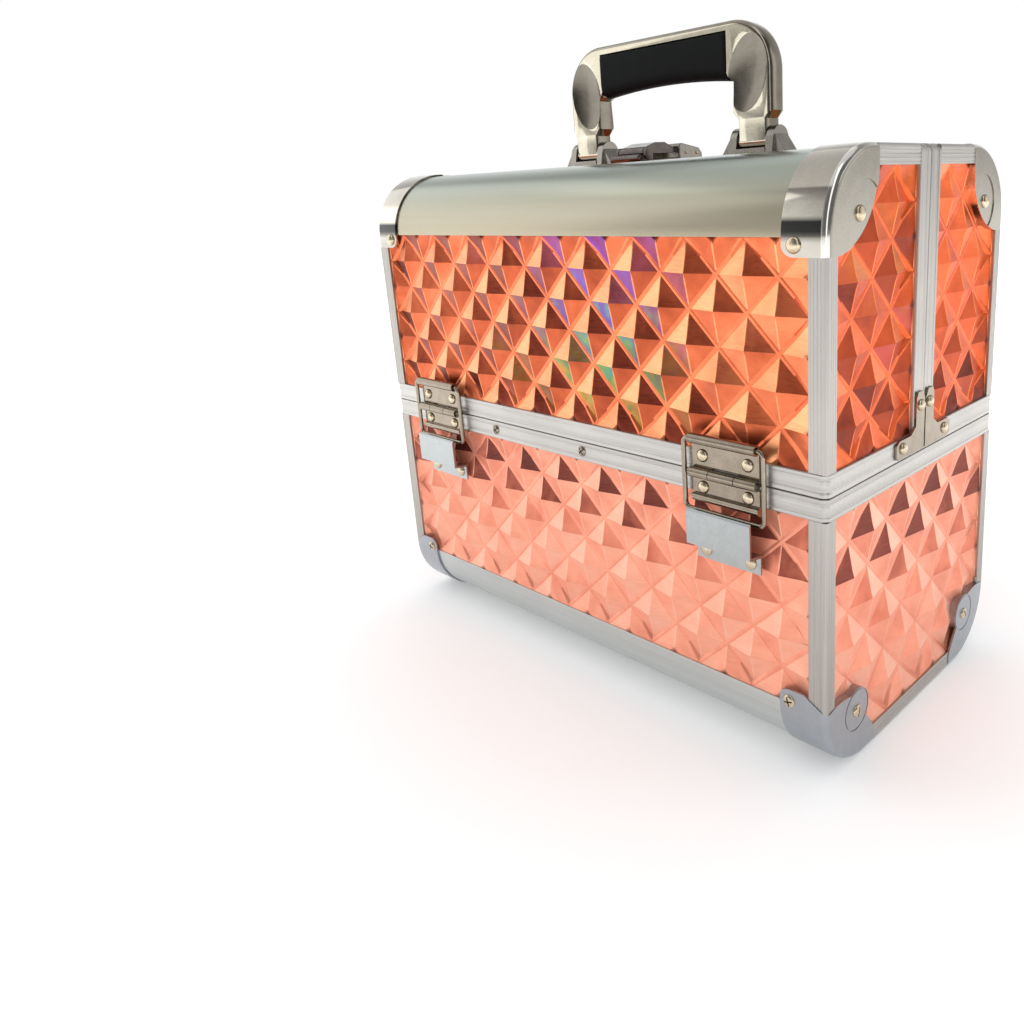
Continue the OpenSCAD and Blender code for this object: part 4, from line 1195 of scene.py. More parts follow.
    def make(self) -> None:
        """Builds every sheet in its place."""
        s = SIZES
        reach = s.half_width - s.post
        low, belt, top = s.arc_low, s.seam - s.rim_height, s.arc_high
        face = Matrix.Translation((-reach, -s.half_depth + s.board_face, 0)) @ ON_FRONT
        base = self.sheet(2 * reach, belt - low, (0, 0, 0, 0), self.lower_painted_light_and_tone)
        self.place("base_face_foil", "base", "base_long_panels",
                   base.moved(Matrix.Translation((0, 0, low)) @ face), Mirror.SIDES)
        start = -s.half_depth + s.post_side
        end = Matrix.Translation((s.half_width - s.board_face, start, 0)) @ ON_END
        base_end = self.sheet(-2 * start, belt - s.floor - s.strip, (self.nip, self.nip, 0, 0),
                              self.low_end_painted_light_and_tone)
        self.place("base_end_foil", "base", "base_end_panels",
                   base_end.moved(Matrix.Translation((0, 0, s.floor + s.strip)) @ end), Mirror.ENDS)
        high = s.seam + s.rim_height
        lid_face = self.sheet(2 * reach, top - high, (0, 0, 0, 0), self.upper_painted_light_and_tone)
        lid_face = lid_face.moved(Matrix.Translation((0, 0, high)) @ face)
        across = s.half_width - s.top_strip
        crown = self.sheet(2 * across, s.arc_y - s.split_rim, (0, 0, 0, 0), self.crown_painted_light_and_tone)
        crown = crown.at(-across, -s.arc_y, s.height - s.board_face)
        for (side, lid, turn), tone in zip(lids(), (self.end_painted_light_and_tone, self.far_end_painted_light_and_tone)):
            lid_end = self.sheet(-s.split_rim - start, s.height - s.strip - high,
                                 (0, 0, 0, self.nip), tone)
            lid_end = lid_end.moved(Matrix.Translation((0, 0, high)) @ end)
            for kind, node, draft, mirror in (("face", "face_panel", lid_face, Mirror.NONE),
                                              ("end", "end_panels", lid_end, Mirror.ENDS),
                                              ("top", "top_panel", crown, Mirror.NONE)):
                self.place(f"{side}_{kind}_foil", lid, f"{lid}_{node}", draft.moved(turn), mirror)


# Frame of drawn profiles


@dataclass
class Frame:
    """Belt rims, split rims, corner posts and strips of drawn aluminium."""

    finishes: Finishes
    corner: float = 3.2
    groove: float = 0.19
    groove_pitch: float = 1.75
    faint: float = 0.2
    seam_gap: float = 0.15
    flange: float = 1.6
    lip: float = 1.2
    angle_wall: float = 1.3
    angle_round: float = 1.8
    strip_start: float = 49.0
    screw_x: Point2 = (-62.0, 16.0)
    screw_z: float = 139.6

    def rim_section(self, height: float) -> list[Point2]:
        """Gives the outer skin of a rim: a bead at the seam, a flat band and a lip."""
        g, p, h = self.faint, SIZES.proud, height
        return [(-1.5, 0.0), (p - 0.5, 0.0), (p - 0.15, 0.12), (p, 0.45), (p, 2.2),
                (p - 0.15, 2.55), (p - g, 2.75), (p - g, 3.1), (p - 0.12, 3.35),
                (p - 0.1, h - 2.9), (p - g, h - 2.6), (p - g, h - 2.2), (p - 0.04, h - 1.95),
                (p, h - 1.4), (p, h - 0.5), (p - 0.2, h - 0.12), (p - 0.6, h), (-1.5, h)]

    def channel_section(self, height: float) -> list[list[Point2]]:
        """Gives the hidden legs of a rim: the seam flange with its inner lip and the far one."""
        wall, face, inner, flange = -SIZES.wall, -SIZES.board_face, -1.4, self.flange
        return [[(wall - self.lip, 0.0), (inner, 0.0), (inner, flange), (wall, flange),
                 (wall, 8.0), (wall - self.lip, 8.0)],
                [(face, height - flange), (inner, height - flange), (inner, height),
                 (face, height)]]

    def rim(self, corners: Sequence[Point2], closed: bool, height: float) -> Draft:
        """Sweeps a rim: rounded skin on a path with rounded corners, hidden legs on a sharp one.

        Args:
            corners: corners of the path.
            closed: whether the rim closes on itself.
            height: height of the rim.

        Returns:
            The rim from height 0 upwards.
        """
        radii = [self.corner] * len(corners)
        if not closed:
            radii[0] = radii[-1] = 0.0
        out = sweep(self.rim_section(height), rounded(corners, radii, 5), closed)
        for section in self.channel_section(height):
            out.join(sweep(section, corners, closed))
        return out

    def grooves(self, leg: float) -> list[float]:
        """Gives the places of the grooves along a leg, from its edge to the corner."""
        count = int((leg - 3.2) / self.groove_pitch) + 1
        return [leg - 1.5 - self.groove_pitch * k for k in range(count)]

    def angle_section(self, a: float, b: float) -> list[Point2]:
        """Gives an angle profile with fine grooves on both legs, its corner at the origin."""
        proud, face, edge = -0.8, SIZES.board_face, 0.35
        deep, off = proud + self.groove, self.angle_round
        points: list[Point2] = [(a - self.angle_wall, face), (a, face), (a, proud + edge)]
        points.append((a - edge, proud))
        for x in self.grooves(a):
            points += [(x + 0.4, proud), (x + 0.25, deep), (x - 0.25, deep), (x - 0.4, proud)]
        points += [(proud + off * (1 - math.cos(t)), proud + off * (1 - math.sin(t)))
                   for t in (math.pi / 2 * k / 5 for k in range(5, -1, -1))]
        for y in reversed(self.grooves(b)):
            points += [(proud, y - 0.4), (deep, y - 0.25), (deep, y + 0.25), (proud, y + 0.4)]
        wall = self.angle_wall
        return points + [(proud, b - edge), (proud + edge, b), (face, b), (face, b - wall),
                         (0.6, b - wall), (0.6, 0.6), (a - wall, 0.6)]

    @staticmethod
    def profile(draft: Draft, name: str, material: Material, body: str,
                replaces: Sequence[str] = ()) -> None:
        """Builds a piece of drawn profile."""
        draft.build(name, [material], body, "aluminium_profile", replaces, smooth=24.0)

    def belt(self) -> None:
        """Builds the rims along the seam."""
        s, gap, drawn = SIZES, self.seam_gap, self.finishes.profile_x
        x, y, height = s.half_width, s.half_depth, s.rim_height - gap
        base = self.rim([(x, -y), (x, y), (-x, y), (-x, -y)], True, height)
        base = base.moved(Matrix.Translation((0, 0, s.seam - gap)) @ Matrix.Diagonal((1, 1, -1, 1)))
        self.profile(base, "base_belt_rim", drawn, "base", ["base_rim"])
        rim = self.rim([(-x, -gap), (-x, -y), (x, -y), (x, -gap)], False, height)
        rim = rim.at(0, 0, s.seam + gap)
        for side, lid, turn in lids():
            self.profile(rim.moved(turn), f"{side}_belt_rim", drawn, lid, [f"{lid}_rim"])

    def split(self) -> None:
        """Builds the rims along the split over the ends and the top."""
        s, gap = SIZES, self.seam_gap
        x, low, top = s.half_width, s.seam + s.rim_height, s.height
        rim = self.rim([(x, low), (x, top), (-x, top), (-x, low)], False, s.split_rim - gap)
        rim = rim.moved(Matrix.Translation((0, -gap, 0)) @ ON_FRONT)
        for side, lid, turn in lids():
            self.profile(rim.moved(turn), f"{side}_split_profile", self.finishes.profile_z, lid,
                         [f"{lid}_split_rim"])

    def posts(self) -> None:
        """Builds the corner posts and the strips along the edges of the ends."""
        s, along_y, along_z = SIZES, self.finishes.profile_y, self.finishes.profile_z
        low_end = -s.half_depth + 1 + s.arc_low + s.cap_tab - s.floor - 0.5
        section = self.angle_section(s.post, s.post_side)
        corner = axes((-1, 0, 0), (0, 1, 0), (0, 0, 1), (s.half_width, -s.half_depth, 0))
        post = prism(section, s.arc_low + s.cap_tab - 7, s.seam - s.rim_height).moved(corner)
        foot = prism(self.angle_section(s.wall, s.strip), 0, -2 * low_end)
        foot = foot.moved(axes((-1, 0, 0), (0, 0, 1), (0, 1, 0), (s.half_width, low_end, s.floor)))
        self.profile(post.spread(Mirror.ALL), "base_corner_posts", along_z, "base", ["base_edges"])
        self.profile(foot.spread(Mirror.ENDS), "base_foot_strips", along_y, "base")
        upper = prism(section, s.seam + s.rim_height, s.arc_high - s.cap_tab + 0.1).moved(corner)
        strip = prism(self.angle_section(s.top_strip, s.strip), 0, self.strip_start - s.split_rim)
        strip = strip.moved(axes((-1, 0, 0), (0, 0, -1), (0, 1, 0),
                                 (s.half_width, -self.strip_start, s.height)))
        for side, lid, turn in lids():
            self.profile(upper.moved(turn).spread(Mirror.ENDS), f"{side}_corner_posts", along_z,
                         lid, [f"{lid}_edges"])
            self.profile(strip.moved(turn).spread(Mirror.ENDS), f"{side}_top_strips", along_y, lid)

    def screws(self) -> None:
        """Sets the countersunk screws into the belt rims between the hinges."""
        head = fastener(Head.CROSS, 3.1, 1.1, 35.0)
        out = SIZES.half_depth + SIZES.proud - 0.25
        for x, end in zip(self.screw_x, ("left", "right")):
            for side, flip in (("front", 1), ("back", -1)):
                screw = head.moved(facing((x, -flip * out, self.screw_z), (0, -flip, 0)))
                # Slot 1 of the heads, the recess, takes painted shade.
                set_small(screw, f"belt_screw_{side}_{end}",
                          [self.finishes.plate, self.finishes.gap], "base", "aluminium_profile")

    def make(self) -> None:
        """Builds the whole frame."""
        self.belt()
        self.split()
        self.posts()
        self.screws()


@dataclass
class QuarterRounds:
    """Smooth anodised quarter rounds along the long edges, with a folded lip at each edge."""

    finishes: Finishes
    wall: float = 1.6
    steps: int = 28
    fold: float = 1.2
    lip: float = 6.0

    def section(self) -> list[Point2]:
        """Gives the closed section, drawn in Y and Z round the arc's centre."""
        r, wall, lip = SIZES.radius, self.wall, self.lip
        seat = r - SIZES.wall
        outer = arc((0, 0), r, 180, 90, self.steps)
        inner = arc((0, 0), r - wall, 92, 178, self.steps)
        lip_top = [(0.0, seat), (lip, seat), (lip, seat - self.fold), (-wall, seat - self.fold)]
        lip_side = [(-seat + self.fold, wall), (-seat + self.fold, -lip), (-seat, -lip),
                    (-seat, 0.0)]
        return outer + lip_top + inner + lip_side

    def make(self) -> None:
        """Builds the four rounds."""
        s = SIZES
        bar = prism(self.section(), -s.half_width, s.half_width).moved(ON_END)
        low = bar.moved(Matrix.Diagonal((1, 1, -1, 1))).at(0, -s.arc_y, s.arc_low)
        low.spread(Mirror.SIDES).build("lower_rounds", [self.finishes.round_low], "base",
                                       "quarter_round", ["base_quarter_rounds"], smooth=30.0,
                                       bevel=0.25)
        # The upper rounds' finish carries a painted reflection by height.
        high = bar.at(0, -s.arc_y, s.arc_high)
        for side, lid, turn in lids():
            high.moved(turn).build(f"{side}_upper_round", [self.finishes.round_top], lid,
                                   "quarter_round", [f"{lid}_quarter_round"], smooth=30.0,
                                   bevel=0.25)


@dataclass
class CornerCaps:
    """Pressed corner caps with rounded ears, turned edges, steps round screws and their screws.

    A pair of numbers is a place on an end, in Y and Z, or for a front screw its distance from
    the end and its height.
    """

    finishes: Finishes
    thick: float = 1.2
    band: float = 22.0
    ear: float = 36.0
    shoulder: float = 3.6
    ear_from: float = 0.4
    shoulder_from: float = -2.6
    step: Point2 = (-60.5, 263.5)
    step_radius: float = 15.0
    nook: float = 6.0
    end_screw: Point2 = (-64.0, 264.3)
    front_screw: Point2 = (15.4, 253.0)
    lobe: Point2 = (-61.4, 28.2)
    lobe_radius: float = 11.2
    crease: Point2 = (10.2, 10.9)
    neck: tuple[Point2, Point2] = ((-79, 39.6), (-73, 39.5))
    low_end_screw: Point2 = (-61.4, 27.6)
    low_front_screw: Point2 = (19.5, 39.0)

    def shell(self, band: float, straight_side: float, straight_flat: float) -> Draft:
        """Sweeps the pressed shell round its arc; the end plane is filled to the arc's centre.

        Args:
            band: length along the quarter round.
            straight_side: how far the shell runs on past the arc on the tall side.
            straight_flat: how far it runs on past the arc on the flat side.

        Returns:
            The shell of the upper front right cap.
        """
        s, t, r = SIZES, self.thick, self.shoulder
        x = s.half_width
        deep = s.radius - 0.4
        turn = [(t - r * (1 - math.sin(a)), -(x + t - r * (1 - math.cos(a))))
                for a in (math.pi / 2 * k / 6 for k in range(6, -1, -1))]
        section = [(0.05, -(x - band)), (t - 0.3, -(x - band)), (t, -(x - band + 0.3)), *turn,
                   (-deep, -(x + t)), (-deep, -x), (0.05, -x)]
        side, flat = s.half_depth, s.height
        path = [(side, s.arc_high - straight_side)]
        path += arc((s.arc_y, s.arc_high), s.radius, 0, 90, 18) + [(s.arc_y - straight_flat, flat)]
        return sweep(section, path).moved(axes((0, -1, 0), (0, 0, 1), (-1, 0, 0)))

    @staticmethod
    def cutter(outline: Sequence[Point2], face: float, plane: Matrix, lift: float = -0.02) -> Draft:
        """Raises an outline on a plane into a cutter, from close to a face to well outside it."""
        return prism(outline, face + lift, face + 9).moved(plane)

    def upper(self) -> Draft:
        """Builds the polished upper cap with its rounded ear and the step round its screw."""
        s = SIZES
        end, front = s.half_width, s.half_depth
        cap = self.shell(self.band, s.cap_tab, 3.0)
        ear_y, ear_z = -s.half_depth + 3, s.arc_high - s.cap_tab + self.ear
        edge = arc((ear_y, ear_z), self.ear, -92, 0, 24)
        edge += [(ear_y + self.ear, s.height + 9), (-20, s.height + 9), (-20, 200), (ear_y, 200)]
        step = arc(self.step, self.step_radius, 0, 352, 44)
        left, foot, r = s.half_width - self.band, s.arc_high - s.cap_tab, self.nook
        nook = [(left - 3, foot - 3), (left + r, foot - 3),
                *arc((left + r, foot + r), r, 270, 180, 8), (left - 3, foot + r)]
        cap = carve(cap, [self.cutter(edge, end, ON_END),
                          self.cutter(step, end, ON_END, self.thick - 0.5),
                          self.cutter(nook, front, ON_FRONT)])
        turned = self.turned_edge(arc((ear_y, ear_z), self.ear, -84, -2, 24), -0.9, 0.0)
        return self.shade_ear(cap).join(turned)

    def lower(self) -> Draft:
        """Builds the lower cap with its lobed ear and a notch round the post's foot."""
        s = SIZES
        end, front = s.half_width, s.half_depth
        cap = self.shell(self.band + 3, s.cap_tab, 8.5)
        flip = Matrix.Diagonal((1, 1, -1, 1))
        cap = cap.moved(Matrix.Translation((0, 0, s.height + s.floor)) @ flip)
        corner = (-front, s.arc_low + 1)
        lobe = [*self.neck, *arc(self.lobe, self.lobe_radius, 118, -38, 20)]
        edge = [(-95, 60), (-91, corner[1] + 4), corner, *lobe,
                (-47, 14), (-43.5, 8.5), (-43.5, -3), (-20, -3), (-20, 60)]
        notch = [(end + 9, 60), (end + 9, corner[1] - 2), (end + 1.5, corner[1]),
                 (end - 12, 45.6), (end - 12, 60)]
        tab = [(end - 40, 60), (end - 40, 39), (end - 25.6, 39),
               *arc((end - 19.2, 38.6), 6.6, 176, 92, 10), (end - 16, 60)]
        inside, outside = (arc(self.lobe, r, 0, 352, 44) for r in self.crease)
        ring = carve(prism(outside, end + self.thick - 0.4, end + 9),
                     [prism(inside, end - 2, end + 12)])
        cap = carve(cap, [self.cutter(edge, end, ON_END), self.cutter(notch, front, ON_FRONT),
                          self.cutter(tab, front, ON_FRONT), ring.moved(ON_END)])
        return cap.join(self.turned_edge(lobe, 0.0, 0.9))

    @staticmethod
    def turned_edge(outline: Sequence[Point2], inner: float, outer: float) -> Draft:
        """Turns an ear's edge down onto the sheet, between two distances right of its outline."""
        low, high = SIZES.half_width - 3.3, SIZES.half_width + 0.4
        return sweep([(inner, low), (outer, low), (outer, high), (inner, high)],
                     outline).moved(ON_END)

    def shade_ear(self, cap: Draft) -> Draft:
        """Gives the end plane its satin slot 1, the shoulder slot 2 and the band slot 0."""
        slots = []
        for face in cap.faces:
            nearest = min(cap.points[i].x for i in face) - SIZES.half_width
            slots.append(1 if nearest > self.ear_from else 2 if nearest > self.shoulder_from else 0)
        cap.slots = slots
        return cap

    def screws(self, end_head: Draft, end_spot: Point2, sunk: float, front_head: Draft,
               front_spot: Point2) -> Draft:
        """Sets the two screws of the front right cap.

        Args:
            end_head: head of the screw in the end.
            end_spot: its place in Y and Z.
            sunk: how deep it sits in the cap.
            front_head: head of the screw in the front.
            front_spot: its distance from the end, and its height.

        Returns:
            Both screws.
        """
        s = SIZES
        out = s.half_width + self.thick - sunk
        both = end_head.moved(facing((out, *end_spot), (1, 0, 0)))
        spot = (s.half_width - front_spot[0], -s.half_depth - self.thick, front_spot[1])
        return both.join(front_head.moved(facing(spot, (0, -1, 0))))

    def make(self) -> None:
        """Builds the caps with their screws."""
        f = self.finishes
        self.lower().spread(Mirror.ALL).build("lower_caps", [f.cap_satin], "base", "satin_cap",
                                              ["base_corner_caps"], bevel=0.3)
        screws = self.screws(fastener(Head.SLOT, 3.4, 1.5, 70.0), self.low_end_screw, 0.0,
                             fastener(Head.CROSS, 3.3, 1.3, 15.0), self.low_front_screw)
        # Slot 1 of the heads, the recess, takes painted shade.
        set_small(screws.spread(Mirror.ALL), "lower_cap_screws", [f.rivet, f.gap], "base")
        upper, dome = self.upper(), fastener(Head.DOME, 3.6, 2.0)
        screws = self.screws(dome, self.end_screw, 0.5, dome, self.front_screw)
        for side, lid, turn in lids():
            # The polished band carries a painted horizon reflection by height.
            upper.moved(turn).spread(Mirror.ENDS).build(
                f"{side}_upper_caps", [f.cap_bright, f.cap_satin_warm, f.cap_edge], lid,
                "polished_cap", [f"{lid}_corner_caps"], bevel=0.3)
            set_small(screws.moved(turn).spread(Mirror.ENDS), f"{side}_cap_screws",
                      [f.rivet, f.gap], lid)


# Pieces carried over from the solids


@dataclass
class Carried:
    """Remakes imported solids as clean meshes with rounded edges, each in its own place."""

    nodes: dict[str, bpy.types.Object]
    join_metres: float = 8e-6
    flat: float = 0.6

    def draft(self, node: str) -> Draft:
        """Reads a solid's mesh, joins its points and merges its flat triangles.

        Args:
            node: name of the solid.

        Returns:
            Its mesh, in millimetres.
        """
        work = bmesh.new()
        work.from_mesh(self.nodes[node].data)
        bmesh.ops.remove_doubles(work, verts=work.verts, dist=self.join_metres)
        bmesh.ops.dissolve_limit(work, angle_limit=math.radians(self.flat), verts=work.verts,
                                 edges=work.edges)
        work.verts.index_update()
        out = Draft().add([v.co / MM for v in work.verts],
                          [[v.index for v in f.verts] for f in work.faces])
        work.free()
        return out

    def make(self, node: str, material: Material, slot: str, bevel: float = 0.3,
             smooth: float = 30.0, segments: int = 2) -> None:
        """Makes the finished piece of a solid.

        Args:
            node: name of the solid.
            material: its material.
            slot: material slot of the record.
            bevel: width of its rounded edges in millimetres.
            smooth: edges sharper than this many degrees stay sharp.
            segments: segments of the rounded edges.
        """
        self.draft(node).build(f"{node}_piece", [material], self.nodes[node]["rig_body"], slot,
                               [node], bevel=bevel, segments=segments, smooth=smooth)


@dataclass
class StayHinges:
    """Two-leaf hinges with their wire stays, keepers and pan rivets, and their heights in Z."""

    finishes: Finishes
    carried: Carried
    leaf: float = 1.2
    rivet_side: float = 13.5
    rivet_radius: float = 3.3
    upper_rivets: float = SIZES.roll_z - 8.5
    lower_rivets: float = SIZES.seam - 7.5
    keeper_rivets: float = SIZES.roll_z - 36 + 1.75 - 28 + 5
    lip: float = 1.9
    lip_half: float = 19.8
    lip_z: float = SIZES.seam - 13.3

    def rivets(self, height: float, depth: float) -> Draft:
        """Gives the two rivets of one leaf of the right front hinge."""
        out = Draft()
        head = fastener(Head.DOME, self.rivet_radius, 1.7)
        for side in (-1, 1):
            spot = (SIZES.hinge_x + side * self.rivet_side, -depth, height)
            out.join(head.moved(facing(spot, (0, -1, 0))))
        return out

    def make(self) -> None:
        """Builds the leaves, wires, keepers and rivets of all four hinges."""
        f, front = self.finishes, SIZES.half_depth + SIZES.proud + self.leaf
        self.carried.make("stay_lower_leaves", f.plate, "plated_steel")
        self.carried.make("stay_keepers", f.keeper, "plated_steel", bevel=0.45, segments=3)
        upper = self.rivets(self.upper_rivets, front)
        for side, lid, turn in lids():
            self.carried.make(f"{side}_upper_leaves", f.plate, "plated_steel")
            self.carried.make(f"{side}_stay_wires", f.plate, "plated_steel", bevel=0.0, smooth=40.0)
            set_small(upper.moved(turn).spread(Mirror.ENDS), f"{side}_upper_leaf_rivets",
                      [f.rivet], lid)
        lower = self.rivets(self.lower_rivets, front).join(
            self.rivets(self.keeper_rivets, SIZES.half_depth + self.leaf))
        set_small(lower.spread(Mirror.ALL), "lower_leaf_rivets", [f.rivet], "base")
        ends = [(SIZES.hinge_x + x, -front + 0.2, self.lip_z)
                for x in (-self.lip_half, -19.0, 19.0, self.lip_half)]
        tube(ends, self.lip, 16).spread(Mirror.ALL).build("rolled_lips", [f.plate], "base",
                                                          "plated_steel", smooth=50.0)


@dataclass
class SplitBrackets:
    """Riveted angle brackets at the foot of the split rims."""

    finishes: Finishes
    carried: Carried
    face: float = 174.2
    spots: tuple[Point2, Point2] = ((-4.75, 169.55), (-22.5, 151.55))

    def make(self) -> None:
        """Builds the brackets and their rivets."""
        rivets, head = Draft(), fastener(Head.DOME, 3.0, 1.8)
        for spot in self.spots:
            rivets.join(head.moved(facing((self.face, *spot), (1, 0, 0))))
        for side, lid, turn in lids():
            self.carried.make(f"{lid}_brackets", self.finishes.plate, "plated_steel")
            set_small(rivets.moved(turn).spread(Mirror.ENDS), f"{side}_bracket_rivets",
                      [self.finishes.rivet], lid)


@dataclass
class Handle:
    """Swinging bow with hollowed legs, its grip and its brackets, drawn up from the pivot."""

    finishes: Finishes
    carried: Carried
    half: float = 79.0
    rise: float = 63.0
    leg: float = 26.0
    depth: float = 13.0
    round: float = 27.0
    back: float = 12.0
    pivot: float = 301.0
    edge: float = 3.2
    foot: float = 9.5
    grip_end: float = 49.0
    grip_high: float = 57.5
    grip_low: float = 32.5
    grip_radius: float = 7.75
    scoop: Point3 = (17.4, 27.0, 9.0)
    scoop_place: Point3 = (63.6, 6.0, 35.0)
    scoop_lean: float = 13.0
    ribs: int = 5
    rib_pitch: float = 1.9

    def outline(self) -> tuple[list[Point2], list[float]]:
        """Gives the bow's outline in X and Z, and how far each edge is rounded off."""
        h, foot, end, low_edge = self.half, self.foot, self.grip_end, self.grip_low
        middle, inner = h - self.leg / 2, h - self.leg
        turn = arc((h - self.round, self.rise - self.round), self.round, 0, 90, 20)
        right = [(middle + foot, 0, 1.2), (middle + foot, 11, 1.2), (h, 15, self.edge)]
        right += [(x, z, self.edge) for x, z in turn]
        low = [(-end, self.grip_high, 0.5), (end, self.grip_high, 0.5), (end, low_edge + 3.6, 0.5),
               (end + 1.1, low_edge + 1.2, 0.9), (inner, low_edge - 1.0, 1.0), (inner, 15, 1.2),
               (middle - foot, 11, 1.2), (middle - foot, 0, 0.0)]
        left = [(-x, z) for x, z, _ in reversed(right)]
        left_edges = [e for _, _, e in reversed(right)][1:] + [0.0]
        down = [(-x, z) for x, z, _ in reversed(low[2:])]
        down_edges = [e for _, _, e in reversed(low[1:-1])]
        spots = [(x, z) for x, z, _ in right] + left + down + [(x, z) for x, z, _ in low]
        return spots, [e for _, _, e in right] + left_edges + down_edges + [e for _, _, e in low]

    @staticmethod
    def drawn_in(spots: Sequence[Point2], edges: Sequence[float], part: float) -> list[Point2]:
        """Draws an outline in, each edge by its own amount.

        Args:
            spots: counterclockwise outline.
            edges: amount for the edge that starts at each point.
            part: share of that amount.

        Returns:
            The smaller outline.
        """
        out = []
        for i, spot in enumerate(spots):
            here = Vector(spot)
            one = (here - Vector(spots[i - 1])).normalized()
            two = (Vector(spots[(i + 1) % len(spots)]) - here).normalized()
            a, b = edges[i - 1] * part, edges[i] * part
            n1, n2 = Vector((-one.y, one.x)), Vector((-two.y, two.x))
            cross = n1.x * n2.y - n1.y * n2.x
            if abs(cross) < 0.12:
                shift = (n1 + n2).normalized() * (a + b) / 2
            else:
                shift = Vector(((a * n2.y - b * n1.y) / cross, (b * n1.x - a * n2.x) / cross))
            out.append((here.x + shift.x, here.y + shift.y))
        return out

    def scoops(self) -> list[Draft]:
        """Gives the ovals that hollow both faces of both legs."""
        wide, tall, deep = self.scoop
        oval = [(wide * math.cos(a), tall * math.sin(a))
                for a in (math.pi * (k / 24 - 0.5) for k in range(25))]
        oval[0], oval[-1] = (0.0, -tall), (0.0, tall)
        ball = lathe(oval, 48, 1).moved(Matrix.Diagonal((1, deep / wide, 1, 1)))
        x, off, z = self.scoop_place
        out = []
        for side in (-1, 1):
            lean = Matrix.Rotation(math.radians(side * self.scoop_lean), 4, "Y")
            for face in (-1, 1):
                place = Matrix.Translation((side * x, face * (self.depth / 2 + off), z))
                out.append(ball.moved(place @ lean))
        return out

    def bow(self) -> None:
        """Builds the bow with rounded outer edges, its hollows and its pivot feet."""
        spots, edges = self.outline()
        levels = [(1 - math.sin(a), 1 - math.cos(a))
                  for a in (math.pi / 2 * k / 5 for k in range(6))]
        rings = [(self.depth / 2 - drop * self.edge, part) for drop, part in levels]
        rings = sorted([(-y, part) for y, part in rings] + rings)
        points: list[Point3] = []
        for y, part in rings:
            points += [(x, y, z) for x, z in self.drawn_in(spots, edges, part)]
        faces = skin(len(rings), len(spots))
        body = carve(Draft().add(points, faces[-2:] + faces[:-2]), self.scoops())
        # Faces the scoops cut keep slot 1 and the rounded faces take slot 2, both darker copies of
        # the chrome as painted shade.
        for i, face in enumerate(body.faces):
            flat = abs(geometry.normal([body.points[k] for k in face]).y) >= 0.95
            if body.slots[i] == 0 and not flat:
                body.slots[i] = 2
        f, half = self.finishes, self.foot
        foot = lathe([(2.9, -half), (5.9, -half), (6.5, 0.6 - half), (6.5, half - 0.6), (5.9, half),
                      (2.9, half), (2.9, -half)], 40)
        for x in (self.leg / 2 - self.half, self.half - self.leg / 2):
            body.join(foot.moved(Matrix.Translation((x, 0, 0)) @ ON_END))
        body.at(0, self.back, self.pivot).build(
            "handle_bow_cast", [f.handle, f.scoop, f.outer], "handle", "handle_chrome",
            ["handle_bow"], bevel=0.55, segments=3, smooth=28.0)

    def grip_ribs(self) -> None:
        """Sets the small ribs beside the lower ends of the grip."""
        out = Draft()
        for side in (-1, 1):
            for k in range(self.ribs):
                x, z = side * (self.grip_end + 0.7), self.grip_low + 4.2 + self.rib_pitch * k
                out.join(tube([(x, y, z) for y in (-6.2, -3.0, 3.0, 6.2)], 0.75))
        set_small(out.at(0, self.back, self.pivot), "grip_end_ribs", [self.finishes.handle],
                  "handle", "handle_chrome")

    def grip(self) -> None:
        """Builds the soft grip: rounded below, with an arched lower edge and fuller ends."""
        half, steps = self.grip_end, 34
        points: list[Point3] = []
        profile = arc((0.0, 0.0), 1.0, 180, 360, 16)
        wide = len(profile) + 4
        for k in range(steps + 1):
            x = -half * math.cos(math.pi * k / steps)
            gap = 1 - abs(x) / half
            draw = 0.55 * max(0.0, 1 - gap / 0.012)
            low = self.grip_low + 3.0 * (1 - (x / half) ** 2) + draw
            r = self.grip_radius - draw - 0.35 * (1 - (x / half) ** 4)
            points += [(x, r * u, low + r * (1 + v)) for u, v in profile]
            top = self.grip_high - draw * 0.4
            points += [(x, r, top - 1.6), (x, r - 1.4, top), (x, -r + 1.4, top), (x, -r, top - 1.6)]
        faces: list[Face] = [tuple(range(wide)),
                             tuple(reversed(range(steps * wide, (steps + 1) * wide)))]
        for a, b in ((k * wide, (k + 1) * wide) for k in range(steps)):
            faces += [(a + i, b + i, b + (i + 1) % wide, a + (i + 1) % wide) for i in range(wide)]
        Draft().add(points, faces).at(0, self.back, self.pivot).build(
            "soft_grip", [self.finishes.grip], "handle", "grip", ["handle_grip"], smooth=50.0)

    def make(self) -> None:
        """Builds the bow, the grip and the brackets."""
        self.bow()
        self.grip_ribs()
        self.grip()
        self.carried.make("handle_brackets", self.finishes.cast, "cast_bracket", bevel=0.9,
                          segments=4)


